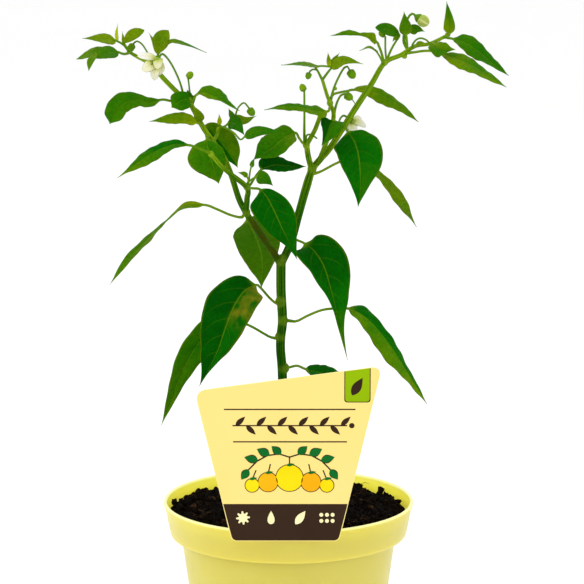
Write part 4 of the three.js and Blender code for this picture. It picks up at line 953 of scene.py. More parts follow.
LARGE_LEAVES = (
    Leaf("leaf_trunk_upper_left", (11.5, 14, 11, 3.5), (9.5, 15, 13, 7.5), (24, 30), fold=22, wave=0.8,
         shades=(0.18, 0.02), flaws=(0.78, 0.0),
         stalk=((281, 303, 0), (276, 303.1, -3), (269.6, 297.9, -8), (260.6, 287.8, -14)),
         midrib=((255.8, 285, -17), (244.6, 291, -22), (234.5, 306, -26), (226, 327, -29),
         (217, 352.6, -31), (199.4, 386, -31))),
    Leaf("leaf_trunk_lower_left", (7, 7.5, 6, 3), (7.5, 8, 7.5, 4.5), (-25, -30), fold=18, wave=0.8,
         shades=(0.38, 0.36), tip_shade=0.34,
         stalk=((280.5, 338.5, 0), (271.6, 337.5, 3), (264.9, 334.2, 5), (254.3, 328, 8),
         (246.2, 324.2, 10)), midrib=((233, 320, 13), (212, 329, 15), (194.5, 349, 15), (180, 377, 13),
         (161.5, 425, 8))),
    Leaf("leaf_trunk_right", (6.2, 6, 4.4, 4.8, 5, 3.6, 1.8), (4, 5.5, 6.6, 7.6, 8, 5.6, 2.8), (-46, -48),
         fold=4, wave=0.8, shades=(0.27, 0.52), tip_shade=0.24, crimp=0.3,
         stalk=((282.5, 320.5, 0), (288, 320.5, -1), (296.4, 321.3, -3), (307, 316, -5), (321, 310.3, -7),
         (333, 308.6, -8)), midrib=((348, 308.5, -10), (362, 315, -13), (378, 330, -16), (396, 355, -19),
         (427, 404, -20))),
    Leaf("leaf_trunk_low", (2.8, 4, 5.5, 5), (7.5, 8.5, 8, 5.5), (-40, -40), fold=16, shades=(0.14, 0.18),
         tip_shade=0.1,
         stalk=((282.5, 368.5, 0), (289.7, 367.2, 4), (297.4, 365.8, 9)), midrib=((305.5, 369, 14),
         (318, 372, 20), (333, 378, 26), (352, 392, 31))),
    Leaf("leaf_right_branch_low", (10.6, 12.5, 8.5, 2), (11.2, 9, 3, 1.6), (-22, -20), fold=24, lobe=0.4,
         wave=0.9, shades=(0.08, 0.1), tip_shade=0.66,
         stalk=((292, 238, 3), (298, 240.5, -1)), midrib=((304.5, 243.5, -6), (314, 251, -10),
         (323.5, 266, -14), (330, 287, -17), (335.8, 309, -19), (341.5, 333, -20), (347.6, 360.4, -19))),
    Leaf("leaf_left_branch_back", (8.6, 10.6, 10.4, 7.2), (6, 8.5, 11, 5.5), (172, 176), fold=10, lobe=0.45,
         shades=(0.35, 0.37), tip_shade=0.14,
         stalk=((247, 214, -9), (248, 217, -4)), midrib=((247, 220, 2), (252, 229, 9), (258, 243, 16),
         (262, 261, 22), (261.6, 288, 27))),
    Leaf("leaf_left_branch_low", (3, 3.5, 5, 3), (2.5, 3.5, 5, 2.5), (36, 166), fold=4, shades=(0.54, 0.64),
         stalk=((245, 212, -9), (241.8, 217.2, -11), (230.5, 215, -15), (216.5, 209, -20)),
         midrib=((205, 205, -24), (186, 205.5, -29), (168, 219, -34), (149, 237, -39), (130, 257, -43),
         (109.5, 285, -46))),
    Leaf("leaf_left_branch_front", (4.5, 8.5, 8.5, 4), (9, 10, 7.5, 2.5), (3, 3), fold=14, lobe=0, wave=0.7,
         shades=(0.14, 0.12), tip_shade=0.16,
         stalk=((246.5, 188, -17), (253, 188.3, -21)), midrib=((260, 189.5, -25), (267, 197, -29),
         (274.5, 211.5, -32), (281.5, 227, -33), (289, 242, -31), (297.3, 260, -27))),
    Leaf("leaf_left_fork_right", (5, 6, 5, 2.6), (2, 3.5, 4, 3), (-28, -36), fold=12, wave=0.5,
         shades=(0.06, 0.1),
         stalk=((246.5, 187, -17), (250.5, 184.5, -15), (254.5, 178, -12)), midrib=((261, 170, -9),
         (267.5, 167, -6), (276.5, 165.2, -3), (290, 166, 0), (306, 166.5, 2))),
    Leaf("leaf_inner_shoot_left", (4.5, 6.5, 6.5, 4), (5.5, 7, 8, 6), (22, 30), fold=14, wave=0.7,
         shades=(0.54, 0.48), tip_shade=-0.14,
         stalk=((306.5, 145, 6), (302.7, 143, 4), (299, 138, 2)), midrib=((295, 132.8, -1), (284, 138, -6),
         (272, 148.5, -10), (253, 160, -14))),
    Leaf("leaf_left_top_hanging", (4.2, 6.4, 7.6, 5.6), (3.4, 5, 5.2, 3), (-4, 4), fold=10, wave=0.9,
         shades=(0.5, 0.2), tip_shade=0.16,
         stalk=((203, 127, 0.7), (202.6, 126, 4)), midrib=((203.6, 126, 6.6), (211, 131.4, 8.5),
         (219.8, 141, 9.3), (229, 153.5, 9), (237.8, 168, 7))),
    Leaf("leaf_left_shoot_hanging", (4, 7, 7, 4.2), (7, 11, 10, 4.5), (4, 0), fold=12, wave=0.5,
         shades=(0.4, 0.46), tip_shade=0.2,
         stalk=((209.5, 136.8, -1), (208, 137, -9)), midrib=((206.6, 140, -17), (208.5, 150, -20),
         (212, 162, -21), (215.5, 173.5, -20), (219, 184, -18))),
    Leaf("leaf_left_knob_side", (1.8, 3.6, 4.7, 3.2), (2.3, 4.2, 4, 1.8), (36, 40), fold=5,
         shades=(0.44, 0.3), tip_shade=0.36,
         stalk=((211, 154, -33), (203.5, 150.3, -36), (195, 147, -39)), midrib=((189, 145.2, -41),
         (174, 144.4, -45), (154, 152.5, -50), (136.5, 163.5, -54), (117.4, 178, -57))),
    Leaf("leaf_left_side", (4.2, 5.1, 4.9, 4.8, 5, 5.4, 5), (2.2, 3.6, 4.8, 5.4, 5.5, 5.3, 4.6), (38, 10),
         fold=18, wave=1.2, shades=(0.49, 0.45),
         stalk=((182, 96.7, 5.5), (175, 100.9, 3), (169, 100.6, 0)), midrib=((162.5, 99.6, -3),
         (149, 101.3, -6), (134.5, 99.8, -10), (119.6, 106.6, -14), (109.6, 124, -17)), crowding=0.8),
    Leaf("leaf_left_round", (3.8, 4.7, 4.8, 4.1), (3, 4.2, 4.9, 4.4), (0, 0), fold=10, lobe=0.3, wave=0.3,
         shades=(0.35, 0.33), tip_shade=0.26,
         stalk=((187, 100.8, 4.3), (188.5, 99.8, 0)), midrib=((189.6, 98.6, -4), (181, 100.8, -7),
         (171.4, 107.6, -9))),
    Leaf("leaf_left_pale", (2.2, 2.7, 3.1, 2.1), (2.8, 4, 3, 1.3), (26, 32), fold=6, lobe=0.2, wave=0.4,
         shades=(0.63, 0.62), tip_shade=0.04,
         stalk=((203, 127, 0), (200.5, 124.5, -3)), midrib=((197, 122.8, -5), (183, 119, -9),
         (167, 118.6, -13), (149, 121.5, -17))),
    Leaf("leaf_left_arched", (3.6, 4.7, 5.2, 2.4), (1.5, 2.7, 2, 0.8), (-40, -44), fold=14, lobe=0.15,
         wave=0.9, shades=(0.53, 0.6), tip_shade=-0.02,
         stalk=((189, 102.5, 4), (193.3, 100, 2)), midrib=((196.5, 94.8, 0), (205, 92.8, -4),
         (218, 98.5, -9), (229, 105, -13), (239.6, 110.9, -15))),
    Leaf("leaf_inner_shoot_flat", (4.5, 3.5, 3, 2.5), (4.2, 3.9, 3, 1.6), (48, 54), fold=4, wave=0.5,
         shades=(0.57, 0.52), tip_shade=-0.02,
         stalk=((330, 103, 4), (329.5, 108, 1)), midrib=((327, 111.5, -2), (313, 110.5, -7),
         (298, 106.8, -11), (281, 106.8, -14), (264, 110, -17))),
    Leaf("leaf_inner_shoot_dark", (6.3, 7.2, 6.5, 3.3), (5, 5.2, 3, 1.3), (8, 0), fold=24, lobe=0.2,
         wave=0.4, shades=(0.44, 0.07),
         stalk=((333.5, 118, 6), (333, 119.2, 4)), midrib=((332, 120.6, 1), (329, 127.5, -4),
         (325.5, 136.5, -8), (321.5, 146, -11))),
    Leaf("leaf_right_branch_heart", (7, 12, 11, 4.5), (10, 10.5, 9, 4.5), (0, 0), fold=12, lobe=0, wave=0.8,
         shades=(0.3, 0.21), tip_shade=0.08,
         stalk=((345, 125, 19.5), (346, 128, 16)), midrib=((348, 131.5, 12), (354, 140.5, 7), (358, 153, 2),
         (360, 170, -2), (360, 189, -4), (358, 207.4, -4))),
    Leaf("leaf_right_branch_back", (3.5, 4, 4.5, 4), (2.7, 2.5, 3.5, 3.3), (-122, -126), fold=2, wave=0.5,
         shades=(0.68, 0.69),
         stalk=((311.5, 174, 13), (320.3, 171.7, 17), (337.9, 162.6, 24)), midrib=((350, 159.5, 28),
         (367, 165, 31), (385, 178.5, 33), (400, 198, 33), (416.7, 227.4, 30))),
    Leaf("leaf_inner_shoot_right", (2.5, 3.6, 4.4, 3.2), (2.5, 4.2, 4.9, 3.1), (-40, -44), fold=2,
         shades=(0.56, 0.59), tip_shade=0.1,
         stalk=((330, 101, 4), (333, 94.7, 10), (340.3, 92.3, 17), (347.6, 91, 24)),
         midrib=((352.5, 89.8, 28), (367, 90.2, 32), (385, 97.3, 35), (401, 107.5, 36), (418.5, 122, 34))),
    Leaf("leaf_right_tip_upper", (5, 5.4, 4.3, 3), (2.8, 4.8, 5.4, 2.6), (-36, -36), fold=8, lobe=0.3,
         shades=(0.4, 0.46),
         stalk=((444, 37, 21), (448, 38, 19)), midrib=((452.5, 38.8, 17), (466, 43.3, 12), (482, 54.5, 7),
         (496.5, 66.5, 2), (508.8, 75.7, -2))),
    Leaf("leaf_right_tip_lower", (3.7, 4.7, 3.8, 2.8), (3.3, 4.9, 5.1, 3.4), (-42, -40), fold=5, wave=0.5,
         shades=(0.52, 0.6), tip_shade=0.1,
         stalk=((405, 53, 25), (414, 52.3, 21), (423, 51, 17), (431.4, 51, 13)), midrib=((441, 53.4, 8),
         (457, 59, 2), (474, 66.8, -5), (490, 77, -11), (506.4, 87.2, -15))),
    Leaf("leaf_right_tip_dark", (2.3, 3.3, 3.8, 3.5), (3.2, 3.8, 4.4, 1.2), (-8, 10), fold=18,
         shades=(0.61, 0.52),
         stalk=((434, 42.4, 22), (433.4, 43, 17)), midrib=((433, 44.3, 11), (439, 48.8, 4),
         (446.5, 50.2, -1), (455.6, 49.5, -5))),
    Leaf("leaf_right_tip_upright", (2.8, 2.9, 2.2, 1.2), (2.5, 2.8, 2, 0.9), (0, -6), fold=14, wave=0.2,
         shades=(0.59, 0.57), tip_shade=-0.12,
         stalk=((446.5, 34.6, 21.8), (448.2, 35.4, 23.4)), midrib=((449.3, 34.3, 25), (449.4, 24, 28.4),
         (448.5, 12, 32), (446.5, 1, 35))),
    Leaf("leaf_right_fork_left", (2.6, 2.5, 1.6, 0.8, 1.0, 0.9, 0.5), (3.6, 3.2, 2.4, 1.7, 2.6, 2.2, 1.2),
         (40, 46), fold=16, lobe=0, wave=0.5, shades=(0.58, 0.59),
         stalk=((384, 63, 24), (381.5, 53, 22), (378.6, 45.5, 20)), midrib=((376.5, 42, 18),
         (364.5, 35.8, 13), (349, 34.2, 8), (330.5, 35.6, 4))),
)


def young(route: tuple[Spot, ...], halves: Pair, roll: Pair,
          shade: float, **more: float) -> Leaf:
    """A small young leaf of a spray, from base to tip, with an even, flat margin."""
    return Leaf("young", halves[:1], halves[1:], roll, route, lobe=0.0, wave=0.0, shades=(shade, shade),
                quilt=0.12, crimp=0.12, **more)


@dataclass(frozen=True)
class Bud:
    """A closed flower bud at the end of a bent stalk."""

    stalk: tuple[Spot, ...]
    at: Spot
    radius: float
    light: float = 0.55
    cup: float = 0.3
    stretch: float = 1.0
    stalk_radius: float = 0.42

    def surfaces(self) -> list[Surface]:
        """Stalk, ribbed cup and egg-shaped flower."""
        start, middle = VIEW.place([self.stalk[-1], self.at])
        axis = unit(middle - start)
        base = middle - axis * self.radius
        swell = [(0.02, -0.05), (0.35, 0.0), (0.72, 0.22), (0.8, 0.5), (0.62, 0.72), (0.3, 0.82),
                 (0.02, 0.84)]
        egg = [(0.02, 0.1), (0.55, 0.18), (0.92, 0.55), (1.0, 1.0), (0.93, 1.45), (0.68, 1.9), (0.3, 2.2),
               (0.02, 2.28)]
        scale = np.array([self.radius, self.radius * self.stretch])
        stalk = Route(np.vstack([VIEW.place(self.stalk), base + axis * 0.2]))
        size = self.stalk_radius
        return [
            tube(stalk, (size * 1.25, size, size, size * 1.1), 10, 0.8, (0.4, 0.8, 0.0)),
            turned(base, axis, np.array(swell) * scale * 1.25, 20, (5, 0.07), (self.cup, self.cup, 0.0)),
            turned(base, axis, np.array(egg) * scale, 20, (5, 0.04), (self.light, 0.05, 0.0)),
        ]


@dataclass(frozen=True)
class Spray:
    """Twigs with small young leaves and buds, measured on the front picture."""

    name: str
    twigs: tuple[tuple[tuple[Spot, ...], Pair], ...]
    leaves: tuple[Leaf, ...]
    buds: tuple[Bud, ...] = ()

    def build(self, blades: BladeMaker) -> None:
        """Makes the spray one piece in place of its node."""
        parts = [tube(Route(VIEW.place(route)), radii, 10, 0.9, (0.5, 0.8, 0.0))
                 for route, radii in self.twigs]
        parts += [blades.surface(leaf) for leaf in self.leaves]
        for bud in self.buds:
            parts += bud.surfaces()
        dress_node(self.name, parts, Look.YOUNG)


SPRAYS = (
    Spray(
        "spray_left_tip",
        twigs=(
            (((136, 56, 8), (130.4, 52.5, 7), (125.5, 46.5, 5), (123.5, 43, 4)), (0.9, 0.7)),
            (((130.4, 52.5, 7), (124, 54, 2), (118, 52, -4)), (0.7, 0.6)),
            (((125.5, 46.5, 5), (120, 42.5, 2), (114, 40, -2)), (0.6, 0.5)),
        ),
        leaves=(
            young(((115.5, 40.6, -1), (100, 38.8, -6), (82.2, 38.3, -10)), (3.6, 3.6), (38, 38), 0.68),
            young(((117.2, 41.4, 1), (116.5, 33, 3), (118, 23.4, 6)), (1, 1), (30, 30), 1.0),
            young(((124, 44, 4), (123.2, 38, 5), (122.2, 31.4, 6)), (0.9, 0.9), (0, 0), 0.78),
            young(((124, 43.2, 4.2), (133.5, 34.5, 9), (144.4, 30, 12)), (3, 2.8), (0, -20), 0.7, blunt=0.9,
                taper=0.8),
            young(((118.6, 52.4, -3.4), (107, 53, -11), (91.8, 58, -18)), (3.6, 3.8), (20, 20), 0.52,
                blunt=0.7, taper=0.9),
            young(((118, 52, -3.8), (98, 50.8, -3), (76.3, 59.3, 3)), (3.4, 3), (40, 50), 0.64, blunt=1.2,
                taper=1.0),
            young(((96, 54, -15.5), (91, 61, -20), (88.6, 71, -23)), (2.2, 2.2), (40, 20), 0.62, blunt=0.8,
                taper=1.2),
        ),
    ),
    Spray(
        "spray_left_flower",
        twigs=(
            (((155.5, 69, 8), (157.6, 60, 10), (158, 53, 11)), (0.6, 0.6)),
            (((158, 54.5, 11), (162, 49.5, 12), (166.5, 44, 13)), (0.5, 0.4)),
        ),
        leaves=(
            young(((158, 54, 11), (154.5, 43, 12), (148.6, 32.4, 15)), (1.4, 1.4), (0, 0), 0.72),
            young(((158.3, 53.5, 10.5), (161.5, 41, 6), (168.5, 30.2, 1)), (4.6, 4), (0, 0), 0.72,
                blunt=0.9, taper=0.8),
            young(((165.5, 45, 12.8), (173, 41.4, 14), (188, 45.2, 17), (206.7, 52.7, 19)), (2.2, 2.2),
                (-50, -70), 0.6),
        ),
        buds=(
            Bud(((157.8, 58.5, 10.2), (153, 57.5, 13), (148.3, 53.6, 14), (142.7, 45, 13),
                (137.5, 41.3, 13), (134.5, 42.6, 13)), (131.4, 47, 13), 1.8, 0.0, cup=0.0, stretch=1.25),
        ),
    ),
    Spray(
        "spray_left_middle",
        twigs=(
            (((221.6, 127.2, 4), (220, 126, 4.4), (219, 124.4, 4.8)), (0.55, 0.5)),
            (((218.4, 128.3, 4), (221.6, 127.2, 4), (225.4, 126, 3), (230, 121.5, 2), (235.5, 116, 2)),
                (0.6, 0.5)),
            (((221.6, 127.2, 4), (226, 128, -3), (234, 133, -11), (240.4, 139.5, -17), (245, 136.4, -19)),
                (0.5, 0.45)),
        ),
        leaves=(
            young(((219.1, 125, 4.7), (219.6, 120, 5), (219, 113.6, 6)), (1.2, 1.2), (0, 0), 0.88),
            young(((228.5, 122.6, 2), (236, 124.4, -4), (244.8, 135.6, -9)), (4.4, 4), (0, 0), 0.38),
            young(((233, 118.2, 2), (231, 113.5, 3), (228.4, 108.3, 4)), (1.5, 1.5), (0, 0), 0.49),
            young(((234.5, 117, 2), (245, 119.6, 5), (256.6, 115.8, 8)), (2, 3), (-20, -20), 0.66),
            young(((244.6, 136.6, -19), (257, 131.6, -21.5), (271, 131.2, -23), (284, 133.6, -24)),
                (2.9, 3), (-20, -20), 0.42),
        ),
        buds=(
            Bud(((235.3, 116.2, 2), (238, 108, 1), (243.6, 102.8, 0), (247.8, 106.5, -1)),
                (251.2, 111.6, -1.5), 1.9, 0.5, cup=0.15),
        ),
    ),
    Spray(
        "spray_left_knuckle",
        twigs=((((191, 104.5, 4), (190.3, 98, 6), (189.6, 91, 6)), (0.9, 0.5)),),
        leaves=(
            young(((190.5, 97.5, 5.6), (188.6, 93.6, 4.6), (187, 89.5, 3)), (1.7, 1.5), (0, 0), 0.5),
            young(((190.6, 100, 5.5), (192.2, 99, 9), (194, 104.5, 13)), (2, 2), (0, 0), 0.48),
        ),
        buds=(
            Bud(((189.7, 93, 6), (188.9, 84, 6), (188, 77.8, 5.5)), (189.8, 75.3, 5), 1.7, 0.8, cup=0.5),
        ),
    ),
    Spray(
        "spray_left_pale",
        twigs=((((200.9, 123.6, 1.2), (201, 121, -1.5)), (0.75, 0.5)),),
        leaves=(
            young(((201, 121.6, -1.2), (197.4, 113, -3.4), (192.4, 104.6, -3.4)), (2.7, 2.5), (0, 0), 0.67),
        ),
    ),
    Spray(
        "spray_left_fork",
        twigs=(
            (((247, 186.5, -17), (248.8, 181, -18.5)), (0.9, 0.7)),
            (((248.8, 181, -18.5), (250.2, 171, -20), (252, 164, -21)), (0.5, 0.4)),
            (((248.8, 181, -18.5), (247, 176.5, -19.5)), (0.45, 0.4)),
            (((248.8, 181.4, -18.5), (253, 178.5, -19.5), (257.4, 176, -20)), (0.5, 0.45)),
        ),
        leaves=(
            young(((251.8, 167, -20.6), (252.5, 162.5, -21.5), (255, 157.6, -22)), (1.2, 1.2), (0, 0), 0.5),
            young(((247.2, 176.8, -19.5), (244, 174, -20), (237.6, 172.4, -21)), (1.4, 1.4), (20, 20),
                0.62),
            young(((256.6, 176.2, -19.8), (265.5, 179.6, -21), (273.4, 186, -22)), (3.6, 3.2), (0, 0),
                0.44),
        ),
    ),
    Spray(
        "spray_inner_tip",
        twigs=(
            (((322.3, 80, 2), (318, 71.5, 0), (315, 67, -1)), (0.7, 0.5)),
            (((322.3, 80, 2), (328.5, 71.5, 3), (332.5, 67, 4)), (0.7, 0.5)),
            (((315, 67, -1), (321, 66, 1), (328.5, 66.5, 3), (332.5, 67, 4)), (0.5, 0.5)),
        ),
        leaves=(
            young(((318, 66.4, 0), (300, 64.6, -7), (281, 65, -13)), (3.4, 3.4), (62, 66), 0.6),
            young(((331, 66.9, 4), (345, 61, 0), (363, 63.8, -4)), (3.4, 3.4), (-30, -40), 0.68),
            young(((329.5, 66.5, 3.4), (328.6, 60, 5), (328, 52, 7)), (1.2, 1.4), (0, 0), 0.78),
            young(((331.5, 66.5, 4.2), (335, 59, 7), (339.8, 52.6, 9)), (1.6, 1.4), (0, 0), 0.72),
        ),
        buds=(
            Bud(((317, 70, 0), (313, 69.4, -2), (309.8, 71.5, -4)), (308.4, 75.6, -4.5), 1.5, 0.3, cup=0.1),
        ),
    ),
    Spray(
        "spray_right_fork",
        twigs=(
            (((386, 62, 24), (391, 50, 27), (395.5, 42, 29), (399.4, 36.4, 30)), (0.65, 0.5)),
            (((386.5, 61.5, 24), (385.4, 50, 27.5), (385.3, 37, 30.5)), (0.55, 0.5)),
        ),
        leaves=(
            young(((399.8, 35.2, 30), (388, 29.6, 27), (375.2, 27.6, 23)), (3.1, 3.2), (10, 10), 0.46,
                blunt=0.7, taper=0.7),
            young(((398.6, 37.6, 29.8), (395, 38.4, 27), (392.4, 41.6, 24)), (1.3, 1.3), (0, 0), 0.62),
        ),
        buds=(Bud(((385.3, 38, 30.3), (384, 35, 31)), (382.2, 34, 31.5), 1.6, 0.0, cup=0.0),),
    ),
    Spray(
        "spray_right_fork_low",
        twigs=((((383.5, 65, 23.5), (380.3, 57.5, 17), (375.5, 50, 12)), (0.55, 0.45)),),
        leaves=(young(((377, 51.6, 13.6), (369, 47.8, 8), (359.5, 50.6, 3)), (2, 2), (60, 64), 0.66),),
    ),
    Spray(
        "spray_right_crown",
        twigs=(
            (((407.4, 50.4, 25), (407, 42, 27), (406.2, 34, 28)), (0.65, 0.55)),
            (((407.4, 50.4, 25), (404.5, 41, 30), (406.5, 33, 34), (410, 30.5, 35)), (0.6, 0.5)),
            (((407.4, 50.4, 25), (403.5, 41.5, 30), (404.8, 28, 35), (408.6, 17, 36), (412.8, 13.6, 35),
                (415, 15.6, 34.6)), (0.55, 0.6)),
        ),
        leaves=(
            young(((406, 35, 28), (405.2, 24, 27), (404, 11.2, 26)), (3.3, 3.3), (0, 0), 0.56),
            young(((409, 31, 35), (416.5, 28.8, 37), (425, 31.6, 38)), (2.6, 2.8), (0, 0), 0.54),
        ),
    ),
    Spray(
        "spray_right_tip",
        twigs=(
            (((412.5, 48, 24.5), (412.5, 44.5, 21), (416.5, 39.6, 19), (421.2, 38.2, 19), (426.6, 40.2, 18),
                (430, 44, 16)), (0.5, 0.45)),
            (((413.5, 47.5, 24.5), (414.5, 46, 18), (418, 44.5, 14)), (0.5, 0.4)),
        ),
        leaves=(young(((415.5, 45.2, 16), (421, 43.4, 12), (428, 45, 8.5)), (1.5, 1.5), (-30, -30), 0.74),),
    ),
)


@dataclass(frozen=True)
class Shoot:
    """A stretch of stem: its route on the front picture and its radii."""

    route: tuple[Spot, ...]
    radii: tuple[float, ...]

    def surface(self, around: int, step: float, growth: float, tone: Spot) -> Surface:
        """The stretch as a round tube, grown by a little on its radius."""
        radii = [radius + growth for radius in self.radii]
        return tube(Route(VIEW.place(self.route)), radii, around, step, tone)


THICK_SHOOTS = (
    Shoot(((284, 556, 0), (284, 470, 0), (282.5, 379, 0), (280.6, 350, 0), (280.8, 337, 0), (282.5, 320, 0),
          (281, 290, 0), (281, 259, 0)), (3.3, 3.1, 2.85, 2.35, 2.25, 2.2, 2.3, 2.3)),
    Shoot(((280.5, 264, 0), (272.5, 251, -3), (263.9, 239, -5), (246, 213, -9)), (1.8, 1.55, 1.5, 1.5)),
    Shoot(((246, 213, -9), (239, 199, -9), (231.2, 175, -8), (223.5, 157, -6), (213.7, 143, -3),
          (202, 125.5, 1), (190, 103.5, 4), (179, 94, 6), (165.5, 80.5, 8), (150, 64, 8), (136, 56, 8)),
          (1.45, 1.4, 1.35, 1.3, 1.3, 1.25, 1.2, 1.15, 1.15, 1.1, 0.9)),
    Shoot(((246, 213, -9), (247, 199, -13), (246.4, 187, -17), (225, 169.5, -28), (211, 154, -33)),
          (1.4, 1.3, 1.2, 1.05, 0.95)),
    Shoot(((281.5, 263, 0), (291, 242, 4), (298.5, 215, 8), (305.5, 190, 11), (312, 170, 14),
          (320, 159.5, 15.5), (330, 148, 17), (344.5, 125.5, 20), (357, 106, 21.5), (371.5, 84, 23),
          (384.5, 63, 24), (400.8, 55, 25), (415, 46.2, 24), (430, 43.6, 22.5), (446, 36, 21)),
          (1.95, 1.95, 1.95, 1.95, 2.05, 1.6, 1.5, 1.45, 1.45, 1.4, 1.25, 1.15, 1, 0.9, 0.8)),
    Shoot(((312, 170, 14), (308.5, 157.5, 10), (306.5, 145, 6)), (1.5, 1.35, 1.3)),
    Shoot(((306.5, 145, 6), (315, 129.8, 8), (321.2, 112.5, 9)), (1.15, 1.05, 1)),
    Shoot(((318, 163, 15), (324, 148.5, 12), (333.5, 118, 6), (330, 103, 4), (327, 95, 3),
          (322.3, 79.5, 2)), (1.2, 1.15, 1.1, 1, 0.85, 0.75)),
    Shoot(((213.3, 142, -3), (217, 134.5, 1), (218.2, 128.5, 4)), (0.9, 0.85, 0.8)),
)
THIN_SHOOTS = (
    Shoot(((333.2, 119.5, 6.2), (336, 105.6, 7), (340.3, 96, 9), (345, 93.8, 10)), (0.75, 0.6, 0.5)),
    Shoot(((330.3, 101, 4), (334.2, 87.4, 6), (339, 76.5, 6), (344, 68, 6), (347.4, 66.6, 6)),
          (0.7, 0.55, 0.5)),
    Shoot(((306, 146, 6), (304.4, 139, 6), (304.4, 112, 7), (304.3, 91, 8)), (0.75, 0.55, 0.5)),
    Shoot(((306.6, 142.5, 6), (306.4, 135.8, 4.6), (311.2, 134.6, 3.4), (316.7, 138.3, 2.4)), (0.5, 0.4)),
    Shoot(((349.5, 98, 10), (352.4, 99.8, 9.6), (355.5, 104.4, 9)), (0.35, 0.2)),
)
KNOBS = (
    (280, 301.5, -0.8, 2.4), (283.2, 320.3, -0.4, 2.4), (280, 336.6, 0.6, 2.5), (284, 368, 0.8, 2.7),
    (281, 260.5, 0, 2.6), (246.3, 212, -9, 2), (246.6, 187, -17, 1.6), (211, 154, -33, 1.5),
    (312, 169, 14, 2.3), (306.3, 145.5, 6, 1.7), (330, 103, 4, 1.6), (384.6, 62.4, 24, 1.7),
    (404.6, 56.2, 25, 1.3), (335.4, 88.6, 6, 0.9), (190, 102.5, 4, 1.6), (218.2, 128.5, 4, 0.85),
)


